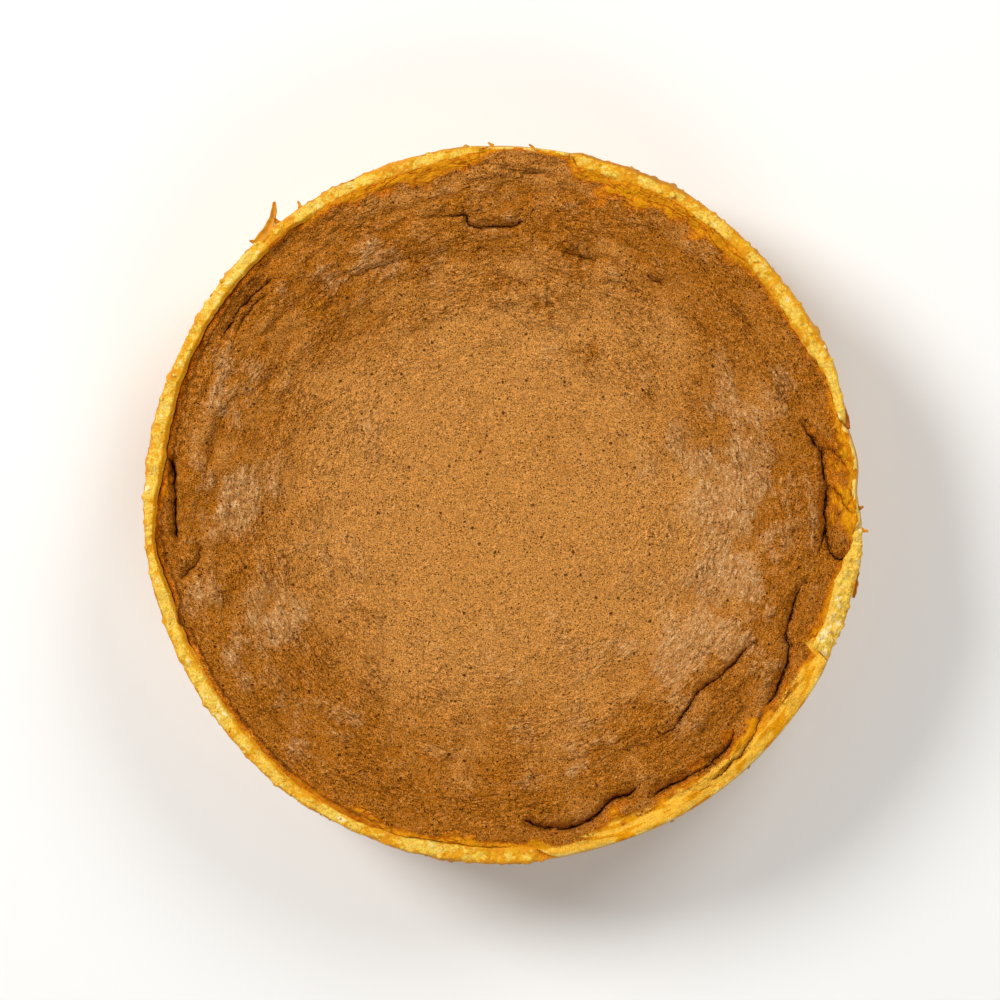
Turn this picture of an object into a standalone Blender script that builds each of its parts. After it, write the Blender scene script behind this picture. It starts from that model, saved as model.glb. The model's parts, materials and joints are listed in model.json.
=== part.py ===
"""A baked cheesecake, whole and turned out of its 24 cm tin.

It has no crust. The curd stands on a flat base with a nearly upright wall. Round the top
runs a rim of curd, torn and lumpy where the browned skin stuck to the tin and came away, and
smooth along one stretch where the skin rolled over the edge instead. Inside the rim the skin
steps down, slopes in wrinkles and folds, and lies flat over the sunken middle.

The body is one solid: a section is spun about the upright axis, and each point is then moved
by what makes this cake uneven. The frame is +Z up, +X to the right, origin at the middle of
the base. Angles are in degrees anticlockwise from +X, and lengths are in metres.
"""

import math

import bmesh
import bpy
from mathutils import Vector, geometry, noise

MM = 0.001
TINY = 0.01 * MM            # points nearer than this are one point

# Driving dimensions
TIN_RADIUS = 120.0 * MM
RIM_HEIGHT = 48.0 * MM      # base to the crest of the rim
SINK = 5.6 * MM             # the middle lies this far below the edge of the skin
STEP = 1.2 * MM             # the edge of the skin lies this far below the crest of the rim
GAP_DEPTH = 1.5 * MM        # and this much further where it has shrunk away from the curd
RIM_WIDTH = 5.0 * MM        # of the section that is spun
RIM_ROUND = 3.2 * MM        # radius of the rim's outer edge
BASE_ROUND = 2.0 * MM
WALL_BULGE = 0.4 * MM       # the wall leans out this far at half its height

# How finely the section is divided
SEGMENTS = 116
SKIN_RINGS = 24
RIM_RINGS = 4
ROUND_RINGS = 3
WALL_RINGS = 5
RING_CROWDING = 1.9         # above 1, the rings of the skin crowd towards its edge

# The slope from the edge of the skin down to the flat middle, as shares of the skin's radius
FLAT_TO = 0.60
SLOPE_TO = 0.97
SLOPE_ROUNDNESS = 0.8       # below 1, the slope is rounder at its foot than at its head
EASE_FROM = 0.9             # the outer share of the skin that steps down or eases up to the rim

# The rim's width at some angles, joined smoothly: torn curd, then the rolled lip, then torn
RIM_WIDTHS = (
    (0, 1.8), (12, 2.6), (32, 5.9), (50, 4.4), (76, 5.2), (85, 1.8), (93, 2.2), (107, 4.8),
    (122, 4.0), (136, 5.4), (152, 4.8), (173, 6.4), (185, 3.4), (197, 5.6), (218, 5.2),
    (244, 3.8), (263, 6.0), (276, 5.2), (286, 10.2), (305, 11.4), (328, 11.0), (337, 5.6),
    (347, 6.4), (355, 3.6),
)
LIP_SPAN = (279, 334)               # the smooth rolled stretch of the rim
BARE_SPANS = ((-2, 12), (80, 92))   # stretches where the skin itself reaches the edge
GAP_SPANS = ((128, 178), (186, 203))    # where it has shrunk away from the torn curd
EASED_SPANS = ((44, 80), (95, 120), (240, 270))     # where it curves up to the rim
EASED_SHARE = 0.8                   # and how much of the step that takes up
SPAN_FADE = 4                       # degrees over which one kind of rim turns into the next

# Dents and swellings of the outline: middle and half-width in degrees, depth in millimetres
OUTLINE_WAVES = (
    (13, 5, -1.5), (38, 15, -0.7), (60, 5, 0.5), (138, 14, 0.5), (152, 6, -0.4),
    (186, 9, 0.4), (233, 7, 0.5), (286, 12, -0.7), (330, 9, 0.7), (337, 2.5, -0.9),
)
DENT_AT_BASE = 0.35         # share of these waves that is left at the foot of the wall
LUMP_HEIGHT = 1.5 * MM      # of the torn curd, up or down
LUMP_SIZE = 6.0 * MM
LUMP_PUSH = 1.0 * MM        # how far the lumps shift the outline in or out
RIM_LIFT = 1.5              # the crest of the rim is this much lumpier than the wall below it
LUMPS_FROM = 0.6            # share of the height above which the wall is lumpy
WALL_WAVE = 0.5 * MM        # broad unevenness of the wall, in or out
WALL_WAVE_SIZE = 30.0 * MM
WAVE_HEIGHT = 0.72 * MM     # of the soft wrinkles that follow the rim
WAVE_SPACING = 7.0 * MM
WAVE_LENGTH = 34.0 * MM
WAVES_FULL_FROM = 0.8       # share of the skin's radius
SWELL_HEIGHT = 0.9 * MM     # of the broad unevenness of the whole top
SWELL_SIZE = 52.0 * MM

# Folds of the skin: the route as (degrees, millimetres from the axis), then depth, half-width
# and the height of the ridge on its outer side, in millimetres
FOLDS = (
    (((15, 103.3), (9, 107.3), (0, 107.7), (-6, 107.0), (-13, 105.0)), 3.0, 2.2, 1.0),
    (((-15.5, 103.6), (-18, 102.5), (-24.5, 103.6), (-27, 106.8), (-31, 108.8)), 2.8, 2.0, 1.0),
    (((-31, 108.8), (-33, 112.0), (-40, 112.3), (-45, 114.0)), 2.0, 1.7, 0.5),
    (((-27, 97.8), (-34, 93.0), (-41, 91.4), (-45, 90.4), (-54, 92.4)), 1.6, 2.2, 0.8),
    (((-45, 110.0), (-49.5, 111.2), (-59.5, 108.8), (-66, 109.8)), 2.2, 1.9, 0.8),
    (((-66, 104.8), (-71, 107.2), (-79.5, 109.8), (-86, 105.6)), 3.2, 2.0, 1.2),
    (((107, 99.3), (98, 97.6), (95, 93.3), (90, 92.9), (83.5, 94.0)), 1.7, 2.0, 0.8),
    (((188, 110.0), (182, 109.9), (175, 109.7)), 2.4, 1.6, 1.4),
    (((193, 111.3), (191, 105.0), (187.7, 102.3)), 1.2, 1.5, 0.4),
    (((149, 109.0), (142, 109.6), (135, 108.6)), 1.2, 1.6, 0.8),
    (((78, 87.4), (69, 87.2)), 0.7, 1.6, 0.3),
    (((132, 90.6), (126, 91.0), (117, 89.2)), 0.8, 1.8, 0.4),
)
FOLD_FADE = 0.22            # share of a fold's length over which it runs out at each end
FOLD_STEPS = 6              # straight runs between two points of a route
RIDGE_OFFSET, RIDGE_WIDTH = 2.0, 1.3    # of a fold's ridge, in half-widths of its groove

# Finishes: name, linear colour and roughness
FINISHES = (
    ("baked curd", (0.80, 0.56, 0.13, 1.0), 0.55),
    ("golden rolled lip", (0.70, 0.36, 0.05, 1.0), 0.42),
    ("browned skin", (0.47, 0.20, 0.05, 1.0), 0.46),
)
CURD, LIP, SKIN = range(len(FINISHES))
LEANING_OUT = 0.15          # upward share of a normal, below which a face belongs to the wall


def smooth_step(low, high, value):
    share = min(max((value - low) / (high - low), 0.0), 1.0)
    return share * share * (3.0 - 2.0 * share)


def degrees_apart(first, second):
    return (first - second + 180.0) % 360.0 - 180.0


def within_span(degrees, start, end):
    """1 inside a span of angles, fading to 0 past its ends."""
    middle = (start + end) / 2.0
    past = abs(degrees_apart(degrees, middle)) - (end - start) / 2.0
    return 1.0 - smooth_step(0.0, SPAN_FADE, past)


def within_spans(degrees, spans):
    return max(within_span(degrees, *span) for span in spans)


def rim_width(degrees):
    """The width of the rim at an angle, eased from each known angle to the next."""
    degrees %= 360.0
    start, end = RIM_WIDTHS[-1], (RIM_WIDTHS[0][0] + 360.0, RIM_WIDTHS[0][1])
    for first, second in zip(RIM_WIDTHS, RIM_WIDTHS[1:]):
        if first[0] <= degrees < second[0]:
            start, end = first, second
    share = smooth_step(start[0], end[0], degrees)
    return (start[1] + (end[1] - start[1]) * share) * MM


def torn(degrees):
    """1 where the rim is torn curd, 0 where it is smooth lip or skin."""
    return 1.0 - within_spans(degrees, BARE_SPANS + (LIP_SPAN,))


def outline_radius(degrees, height=RIM_HEIGHT):
    """The cake's radius at an angle, whose dents and swellings ease out down the wall."""
    share = DENT_AT_BASE + (1.0 - DENT_AT_BASE) * height / RIM_HEIGHT
    waves = (
        depth * math.exp(-((degrees_apart(degrees, middle) / half_width) ** 2))
        for middle, half_width, depth in OUTLINE_WAVES
    )
    return TIN_RADIUS + share * sum(waves) * MM


def skin_height(share):
    """The height of the skin at a share of its radius, before its folds and wrinkles."""
    slope = smooth_step(FLAT_TO, SLOPE_TO, share) ** SLOPE_ROUNDNESS
    return RIM_HEIGHT - STEP - SINK * (1.0 - slope)


def section():
    """The cake's half section, from the axis over the rim and down the wall to the axis."""
    skin_radius = TIN_RADIUS - RIM_WIDTH
    points = []
    for ring in range(SKIN_RINGS + 1):
        share = 1.0 - (1.0 - ring / SKIN_RINGS) ** RING_CROWDING
        points.append((skin_radius * share, skin_height(share)))
    crest_radius = TIN_RADIUS - RIM_ROUND
    for ring in range(1, RIM_RINGS + 1):
        share = ring / RIM_RINGS
        lift = math.sin(share * math.pi / 2.0)
        points.append((
            skin_radius + (crest_radius - skin_radius) * share,
            RIM_HEIGHT - STEP + STEP * lift,
        ))
    for ring in range(1, ROUND_RINGS + 1):
        turn = math.pi / 2.0 * ring / ROUND_RINGS
        points.append((
            crest_radius + RIM_ROUND * math.sin(turn),
            RIM_HEIGHT - RIM_ROUND + RIM_ROUND * math.cos(turn),
        ))
    wall_top, wall_foot = RIM_HEIGHT - RIM_ROUND, BASE_ROUND
    for ring in range(1, WALL_RINGS + 1):
        share = ring / WALL_RINGS
        bulge = WALL_BULGE * math.sin(share * math.pi)
        points.append((TIN_RADIUS + bulge, wall_top + (wall_foot - wall_top) * share))
    for ring in range(1, ROUND_RINGS):
        turn = math.pi / 2.0 * ring / ROUND_RINGS
        points.append((
            TIN_RADIUS - BASE_ROUND + BASE_ROUND * math.cos(turn),
            BASE_ROUND - BASE_ROUND * math.sin(turn),
        ))
    points.append((TIN_RADIUS - BASE_ROUND, 0.0))
    points.append((0.0, 0.0))
    return points


def spun_body():
    """The section turned once about the upright axis, closed at both poles."""
    body = bmesh.new()
    verts = [body.verts.new((radius, 0.0, height)) for radius, height in section()]
    edges = [body.edges.new(pair) for pair in zip(verts, verts[1:])]
    bmesh.ops.spin(
        body, geom=verts + edges, cent=(0.0, 0.0, 0.0), axis=(0.0, 0.0, 1.0),
        angle=math.tau, steps=SEGMENTS, use_merge=True,
    )
    bmesh.ops.remove_doubles(body, verts=body.verts, dist=TINY)
    bmesh.ops.recalc_face_normals(body, faces=body.faces)
    return body


def plan_point(degrees, radius):
    turn = math.radians(degrees)
    return Vector((radius * math.cos(turn), radius * math.sin(turn)))


def fold_points(route):
    """The route in plan, as short straight runs of a curve through its points."""
    places = [plan_point(degrees, radius * MM) for degrees, radius in route]
    ends = [places[0]] + places + [places[-1]]
    points = []
    for before, start, end, after in zip(ends, ends[1:], ends[2:], ends[3:]):
        leave = start + (end - before) / 6.0
        arrive = end - (after - start) / 6.0
        points += geometry.interpolate_bezier(start, leave, arrive, end, FOLD_STEPS + 1)[:-1]
    return points + [places[-1]]


def fold_height(plan, points, depth, half_width, ridge):
    """How far a fold moves the skin up or down at a place seen from above."""
    nearest, along = None, 0.0
    for index, (start, end) in enumerate(zip(points, points[1:])):
        run = end - start
        share = min(max((plan - start).dot(run) / run.length_squared, 0.0), 1.0)
        away = plan - (start + run * share)
        if nearest is None or away.length < nearest.length:
            nearest, along = away, (index + share) / (len(points) - 1)
    fade = smooth_step(0.0, FOLD_FADE, along) * smooth_step(0.0, FOLD_FADE, 1.0 - along)
    distance = nearest.length / (half_width * MM)
    outward = 1.0 if nearest.dot(plan) > 0.0 else 0.0
    groove = -depth * math.exp(-distance ** 2)
    hump = ridge * outward * math.exp(-((distance - RIDGE_OFFSET) / RIDGE_WIDTH) ** 2)
    return fade * (groove + hump) * MM


def skin_relief(plan, degrees, radius, share, folds):
    """Everything that makes the skin uneven: broad swells, wrinkles and folds."""
    swell = SWELL_HEIGHT * noise.noise(Vector((*plan, 0.0)) / SWELL_SIZE)
    around = math.radians(degrees)
    turns = TIN_RADIUS / WAVE_LENGTH
    place = Vector((
        math.cos(around) * turns,
        math.sin(around) * turns,
        radius / WAVE_SPACING,
    ))
    wave = WAVE_HEIGHT * smooth_step(FLAT_TO, WAVES_FULL_FROM, share) * noise.noise(place)
    return swell + wave + sum(fold_height(plan, *fold) for fold in folds)


def step_change(degrees):
    """How far the edge of the skin moves from its usual depth below the rim."""
    eased = within_spans(degrees, EASED_SPANS + BARE_SPANS)
    return EASED_SHARE * STEP * eased - GAP_DEPTH * within_spans(degrees, GAP_SPANS)


def moved_point(spun, folds):
    """Where a point of the spun body lies in the outline, rim and skin of this one cake."""
    spun_radius = spun.xy.length
    degrees = math.degrees(math.atan2(spun.y, spun.x))
    lumps = torn(degrees) * noise.noise(spun / LUMP_SIZE)
    edge = outline_radius(degrees) + LUMP_PUSH * lumps
    skin_edge = outline_radius(degrees) - rim_width(degrees)
    spun_edge = TIN_RADIUS - RIM_WIDTH
    top_radius = TIN_RADIUS - 0.5 * RIM_ROUND
    if spun.z < RIM_HEIGHT - STEP - SINK - MM or spun_radius > top_radius:
        up_wall = smooth_step(LUMPS_FROM, 1.0, spun.z / RIM_HEIGHT)
        bend = WALL_WAVE * noise.noise(spun / WALL_WAVE_SIZE) + LUMP_PUSH * lumps * up_wall
        radius = spun_radius + outline_radius(degrees, spun.z) - TIN_RADIUS + bend
        rise = LUMP_HEIGHT * lumps * up_wall
    elif spun_radius > spun_edge + TINY:
        share = (spun_radius - spun_edge) / RIM_WIDTH
        radius = skin_edge + (edge - skin_edge) * share
        folded = skin_relief(plan_point(degrees, radius), degrees, radius, 1.0, folds)
        rise = RIM_LIFT * LUMP_HEIGHT * lumps + (1.0 - share) * folded
    else:
        share = spun_radius / spun_edge
        radius = skin_edge * share
        folded = skin_relief(plan_point(degrees, radius), degrees, radius, share, folds)
        rise = folded + step_change(degrees) * smooth_step(EASE_FROM, 1.0, share)
    place = plan_point(degrees, radius)
    return Vector((place.x, place.y, spun.z + (rise if spun.z > 0.0 else 0.0)))


def make_uneven(body):
    folds = [(fold_points(route), *sizes) for route, *sizes in FOLDS]
    for vert in body.verts:
        if vert.co.xy.length > MM:
            vert.co = moved_point(vert.co.copy(), folds)


def centre_on_base(body):
    """Shifts the body so that the box round it stands on the origin."""
    xs = [vert.co.x for vert in body.verts]
    ys = [vert.co.y for vert in body.verts]
    middle = Vector(((min(xs) + max(xs)) / 2.0, (min(ys) + max(ys)) / 2.0, 0.0))
    bmesh.ops.translate(body, verts=body.verts, vec=-middle)


def finish_at(centre, normal):
    """Which finish a face has: curd on the wall and the torn rim, else the lip or the skin."""
    degrees = math.degrees(math.atan2(centre.y, centre.x))
    if normal.z < LEANING_OUT:
        return CURD
    if centre.xy.length < outline_radius(degrees) - rim_width(degrees):
        return SKIN
    if torn(degrees) > 0.5:
        return CURD
    return LIP if within_span(degrees, *LIP_SPAN) > 0.5 else SKIN


def food_material(name, colour, roughness):
    material = bpy.data.materials.new(name)
    material.use_nodes = True
    shader = material.node_tree.nodes["Principled BSDF"]
    shader.inputs["Base Color"].default_value = colour
    shader.inputs["Roughness"].default_value = roughness
    shader.inputs["Metallic"].default_value = 0.0
    return material


def make_cheesecake():
    body = spun_body()
    make_uneven(body)
    bmesh.ops.triangulate(body, faces=body.faces)
    for face in body.faces:
        face.material_index = finish_at(face.calc_center_median(), face.normal)
    centre_on_base(body)
    mesh = bpy.data.meshes.new("cheesecake")
    body.to_mesh(mesh)
    body.free()
    for finish in FINISHES:
        mesh.materials.append(food_material(*finish))
    mesh.shade_smooth()
    bpy.context.scene.collection.objects.link(bpy.data.objects.new("cheesecake", mesh))


for old in list(bpy.data.objects):
    bpy.data.objects.remove(old)
make_cheesecake()
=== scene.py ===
"""The looks of a whole baked cheesecake: browned skin over pale curd, torn round the rim.

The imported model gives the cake's size and place. Each visible piece is modelled here round it:
the body of curd with its torn rim, the browned skin with its folds, the shreds of skin that the
tin pulled off, and the crumbs of curd on the rim. Angles are in degrees anticlockwise from +X,
seen from above, and lengths are in metres.
"""

import json
import math
import random
from typing import NamedTuple

import bpy
import numpy as np
from bpy.props import FloatProperty, FloatVectorProperty, IntProperty, PointerProperty
from mathutils import Matrix, Vector, geometry, noise

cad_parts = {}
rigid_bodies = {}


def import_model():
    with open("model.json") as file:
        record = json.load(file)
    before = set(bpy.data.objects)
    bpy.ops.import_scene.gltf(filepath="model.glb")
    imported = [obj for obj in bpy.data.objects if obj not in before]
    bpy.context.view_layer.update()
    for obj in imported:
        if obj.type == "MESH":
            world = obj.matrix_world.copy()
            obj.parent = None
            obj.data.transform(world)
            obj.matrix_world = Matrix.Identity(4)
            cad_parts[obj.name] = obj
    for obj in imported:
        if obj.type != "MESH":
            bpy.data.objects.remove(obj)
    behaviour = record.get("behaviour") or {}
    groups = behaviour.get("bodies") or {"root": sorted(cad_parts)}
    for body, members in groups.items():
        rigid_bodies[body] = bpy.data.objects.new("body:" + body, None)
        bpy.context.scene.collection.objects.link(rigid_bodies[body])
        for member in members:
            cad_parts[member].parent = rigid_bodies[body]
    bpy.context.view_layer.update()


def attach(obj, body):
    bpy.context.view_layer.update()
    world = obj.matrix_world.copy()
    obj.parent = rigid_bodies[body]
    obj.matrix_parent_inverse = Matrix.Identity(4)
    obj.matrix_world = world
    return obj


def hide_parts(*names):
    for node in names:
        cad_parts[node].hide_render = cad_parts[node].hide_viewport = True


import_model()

bl_info = {
    "name": "Baked Cheesecake",
    "version": (1, 0, 0),
    "blender": (4, 5, 0),
    "location": "3D View > Sidebar > Cheesecake",
    "description": "Models a whole baked cheesecake with a browned skin and a torn curd rim",
    "category": "Add Mesh",
}

MM = 0.001
TINY = 0.01 * MM
NODE = "cheesecake"

# The cake's form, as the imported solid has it: the tin's axis, then what bends its rim
AXIS = Vector((0.13 * MM, 0.0, 0.0))
RIM_WIDTH = 5.0 * MM
RIM_ROUND = 2.4 * MM
TORN_ROUND = 1.3 * MM       # torn curd keeps a crisper edge than the rolled skin
TORN_STEEPNESS = 3.0        # how much sooner than rolled skin it climbs to the crest
BASE_ROUND = 2.0 * MM
WALL_BULGE = 0.4 * MM
# Shares of the way from the axis to the rim, between which the sunken top slopes up
FLAT_TO, SLOPE_TO, SLOPE_ROUNDNESS = 0.60, 0.97, 0.8
EASE_FROM, EASED_SHARE = 0.9, 0.8
# Width of the rim in millimetres at some angles
RIM_WIDTHS = (
    (0, 1.8), (12, 2.6), (32, 5.9), (50, 4.4), (76, 5.2), (85, 1.8), (93, 2.2), (107, 4.8),
    (122, 4.0), (136, 5.4), (152, 4.8), (173, 6.4), (185, 3.4), (197, 5.6), (218, 5.2),
    (244, 3.8), (263, 6.0), (276, 5.2), (286, 10.2), (305, 11.4), (328, 11.0), (337, 5.6),
    (347, 6.4), (355, 3.6),
)
LIP_SPAN = (279, 334)                       # where the skin rolled over the rim
BARE_SPANS = ((-2, 12), (80, 92))           # where its bare edge reaches the rim
BORDER_SPANS = ((138, 180), (183, 247))     # where its border browned to a dark line
GAP_SPANS = ((128, 178), (186, 203))        # where it shrank away from the curd
EASED_SPANS = ((44, 80), (95, 120), (240, 270))     # where it rises to the curd
SKIN_LOBES = ((199.2, 2.0, 2.6), (130.5, 2.6, 0.9))     # middle, half width, millimetres out
LOBE_LIFT = 0.9 * MM
SPAN_FADE, MASK_FADE, WIDE_FADE = 4, 6, 14     # degrees in which a span ends
FLAKY_FADE, TOASTED_FADE, PALER_FADE = 5, 3, 8
# Dents and swellings of the outline: middle and half width in degrees, millimetres out
OUTLINE_WAVES = (
    (2.0, 3.5, -1.9), (14, 6, -2.2), (38, 15, -0.7), (60, 5, 0.5), (138, 14, 0.5), (152, 6, -0.4),
    (186, 9, 0.4), (233, 7, 0.5), (286, 12, -0.7), (330, 9, 0.7), (337, 2.5, -0.9),
    (351, 5, 0.4),
)
DENT_AT_BASE = 0.35         # the share of a dent that is left at the base
LUMPS_FROM, RIM_LIFT = 0.6, 0.9     # how far up the wall the lumps begin, their share on top
WALL_WAVE = 0.5 * MM
WAVE_SPACING, WAVE_LENGTH, WAVES_FULL_FROM = 7.0 * MM, 34.0 * MM, 0.8
SWELL_HEIGHT = 0.9 * MM
RIDGE_OFFSET, RIDGE_WIDTH = 2.0, 1.3        # of the ridge beside a fold, in fold widths
FOLD_FADE, FOLD_STEPS = 0.22, 6     # the share of a fold that fades out, steps between points

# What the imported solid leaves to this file
FIBRE_SHARE = 0.35          # a torn fibre's width as a share of its length across the rim
BARE_MARGIN = 0.7 * MM      # from the outline to the skin's edge where it reaches the rim
SKIN_TUCK = 2.2 * MM        # how far the skin's edge turns down
SKIN_FLOOR = 36.0 * MM      # height of its hidden underside
RING_CROWDING = 0.45        # the rings of the skin's mesh crowd outward
RAGGEDNESS, FRILL_HEIGHT = 0.45 * MM, 0.35 * MM     # of the skin's torn edge, in plan and up
CRACK_WIDTH = 0.36 * MM
SEAM_REACH = 2.0 * MM       # how far from a crack the skin knows of it
TEAR_FADE = 5.0             # degrees in which the rolled rim turns to torn curd
BROKEN_FADE = 1.6           # the same at the end where the lip broke off
BARE_FADE = 2.6             # the same where the skin reaches the rim
MIDDLE_FADE = 10.0          # the same in the lip's middle, from one end's fade to the other's
DRAWN_OUT = 0.48            # a wrinkle's width as a share of its length round the cake
STREAK_LENGTH, STREAK_SPACING = 9.0 * MM, 1.5 * MM      # of the streaks along the rolled rim
SPIN_STEPS = 1080           # round the curd's body
DISC_CUTS = (87, 1)         # of the skin's six-sided disc, which make 176 rings
EDGE_DROPS = (0.4 * MM, 0.7 * MM, 1.1 * MM, 8.0 * MM)   # from the skin's edge down, in turn
SHRED_THICKNESS = 0.35 * MM
CRUMB_SEED, TORN_ENOUGH = 41, 0.6       # crumbs lie only where the rim is this much torn
ABOVE_CAKE = 80.0 * MM      # from where each crumb drops
CRUMB_SUNK = 0.12           # the share of its width by which it sinks in

# Noise patterns: width of the widest lumps, octaves, seed, share that each finer octave keeps
RAGGED_EDGE = (5.0 * MM, 3, 2.2, 0.6)
CRACK_BREAKS = (4.0 * MM, 2, 6.6)
SWELLS = (52.0 * MM,)
UNEVENNESS = (30.0 * MM, 2, 12.3)
WRINKLES = (9.0 * MM, 2, 21.0)
CRUMPLES = (8.5 * MM, 3, 21.0)
PUCKERS = (2.6 * MM, 3, 31.0, 0.7)
RIPPLES = (10.0 * MM, 3, 7.7, 0.6)
RIM_LUMPS = (6.0 * MM,)
WALL_WAVES = (30.0 * MM,)
CURD_GRAINS = (2.2 * MM, 3, 1.7)
CURD_TEARS = (1.5 * MM, 2, 8.8)
CURD_FIBRES = (2.4 * MM, 2, 4.9)
EDGE_NICKS = (2.6 * MM, 2, 6.2)
EDGE_TEETH = (2.3 * MM, 1, 9.9)
CURD_BLOTCHES = (13.0 * MM, 3, 5.5)
WALL_STREAKS = (4.0 * MM, 4, 2.9, 0.65)
FRILL = (2.6 * MM, 2, 4.4)
BROAD_BROWNING = (46.0 * MM, 2, 1.1)
PATCHES = (13.0 * MM, 3, 6.1)
SCUFF_GRAIN = (4.0 * MM, 2, 1.9)
FAT_STREAKS = (15.0 * MM, 3, 2.6)
FAT_DRAWN = (1.6, 0.7, 1.0)     # they lie longer along Y than along X
GOLD_EDGE = (6.0 * MM, 3, 3.6)
LIP_STREAKS = (1.0, 2, 8.1, 0.6)
FLAKE_EDGE = (3.0 * MM, 2, 5.2)
BORDER_EDGE = (2.5 * MM, 2, 7.1)
SCUFF_MARKS = (1.9 * MM, 2, 5.9)

# How a pattern wanders out of its straight lines: size and shift
FOLDS_WANDER = ((5.0 * MM, 0.9 * MM), (1.8 * MM, 0.35 * MM))
WRINKLES_WANDER = (7.0 * MM, 2.4 * MM)
GRAINS_WANDER = (4.0 * MM, 1.2 * MM)
FIBRES_WANDER = (3.0 * MM, 1.2 * MM)
WANDER_SEED = 3.1

# Width in millimetres of the golden skin inside its edge
GOLD_WIDTHS = (
    (0, 7.0), (9, 6.0), (16, 3.0), (22, 1.6), (40, 2.6), (50, 4.4), (60, 7.0), (75, 8.0),
    (80, 4.0), (86, 1.8), (91, 3.0), (96, 7.0), (108, 5.4), (122, 2.8), (130, 1.6), (150, 1.5),
    (168, 1.7), (175, 3.2), (182, 2.2), (203, 1.7), (225, 2.0), (238, 3.6), (246, 4.8),
    (254, 3.2), (262, 4.4), (270, 3.4), (279, 6.0), (286, 10.5), (305, 11.5), (330, 10.6),
    (337, 4.6), (347, 2.8), (354, 5.0),
)

# Where a film of fat makes the skin glossier and more crumpled, with a paler painted sheen laid in
# its colour: degrees and millimetres of its middle, then its reach in millimetres and its strength
SHEENS = (
    (6, 76, 17, 1.0), (-12, 82, 17, 0.85), (-30, 78, 18, 0.6), (24, 84, 14, 0.55),
    (180, 94, 12, 0.75), (172, 76, 9, 0.5), (206, 82, 10, 0.7), (160, 98, 11, 0.45),
    (228, 101, 11, 0.5), (98, 104, 13, 0.1), (-48, 70, 14, 0.45), (-78, 88, 10, 0.4),
    (130, 100, 10, 0.3), (330, 100, 9, 0.4), (14, 60, 12, 0.3), (190, 62, 9, 0.3),
    (153, 107, 11, 0.45), (171, 103, 9, 0.35), (196, 107, 10, 0.5), (212, 105, 10, 0.45),
    (110, 84, 12, 0.35), (122, 92, 12, 0.35), (247, 103, 12, -0.5), (284, 104, 10, 0.3),
)

# Where a fold has opened a pool of golden skin, and below 0 where a lobe stayed brown, likewise
POOLS = (
    (1.6, 112.6, 4.2, 1.0), (7.0, 112.0, 4.2, 0.2), (-1.5, 113.4, 4.0, 0.4),
    (-7.0, 112.0, 4.6, -1.3), (-29, 112.6, 4.5, 0.3), (-35.5, 113.4, 5.5, 0.5),
    (-41.5, 110.0, 4.2, 0.6), (-47, 113.4, 4.0, 0.4), (-57, 113.0, 5.0, 0.4),
    (-64.5, 110.5, 3.4, -0.6), (-70, 111.5, 4.5, 0.35), (-77, 113.5, 5.0, -0.5),
    (86, 112.0, 4.5, -0.6), (92, 113.6, 4.0, -0.5), (176, 111.0, 3.0, 0.25),
    (142, 111.0, 5.0, -0.3),
)

# Where the skin has puckered in a small rough patch, likewise
SCUFFS = (
    (73, 86.5, 6, 1.0), (79, 70, 7, 1.0), (90, 72.5, 5, 0.9), (61, 57.5, 5, 1.0),
    (109, 87, 5, 0.8), (115, 67, 6, 0.4), (131, 90, 7, 0.6), (196, 96, 5, 0.5),
    (300, 92, 7, 0.6), (318, 98, 6, 0.5), (243, 98, 6, 0.4), (270, 92, 6, 0.5),
    (140, 112, 6, 0.8), (176, 113, 4, 0.8), (345, 96, 6, 0.4),
)

WRINKLED_SPANS = ((-8, 12), (66, 128), (296, 330), (150, 190))  # where the skin wrinkled most
PALER_SPANS = ((50, 108),)      # where the brown skin is paler near its edge
GOLDEST_SPANS = ((-4, 11), (52, 92), (283, 332))    # where the golden skin is at its palest
FLAKY_SPANS = ((336, 358),)     # where the torn curd is flaky and whitest
FRESHER_SPANS = ((14, 34), (138, 165), (188, 236))  # where more of it is cream
DRIER_SPANS = ((96, 126), (262, 278))               # and where less of it is
TOASTED_SPANS = ((60, 77),)     # where the tin toasted the rim's outer edge

# The studio: name, place, width in metres and watts of each lamp, then the air and the camera
LAMPS = (
    ("key", (-1.5, 0.9, 1.4), 0.9, 40.0),
    ("second", (1.0, 1.3, 1.5), 1.1, 19.0),
    ("low", (0.6, -1.5, 1.4), 1.2, 10.0),
)
AIR_STRENGTH = 0.25
FLOOR_WIDTH = 4.0
CAMERA_PLACE = (-1.2 * MM, 1.6 * MM, 1.248)
FOCAL_LENGTH, SENSOR_WIDTH = 129.6, 36.0    # in millimetres, as a camera takes them


class Fold(NamedTuple):
    """A fold of the skin, as a valley with a crack along it. Sizes are in millimetres."""

    route: tuple            # (degrees, millimetres from the tin's axis)
    depth: float            # of the valley
    width: float            # half the valley's width
    crack: float            # depth of the crack
    ridge: float = 0.0      # height of the ridge on the outer side
    amber: float = 0.0      # how much pale skin the fold has opened on its outer side


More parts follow.
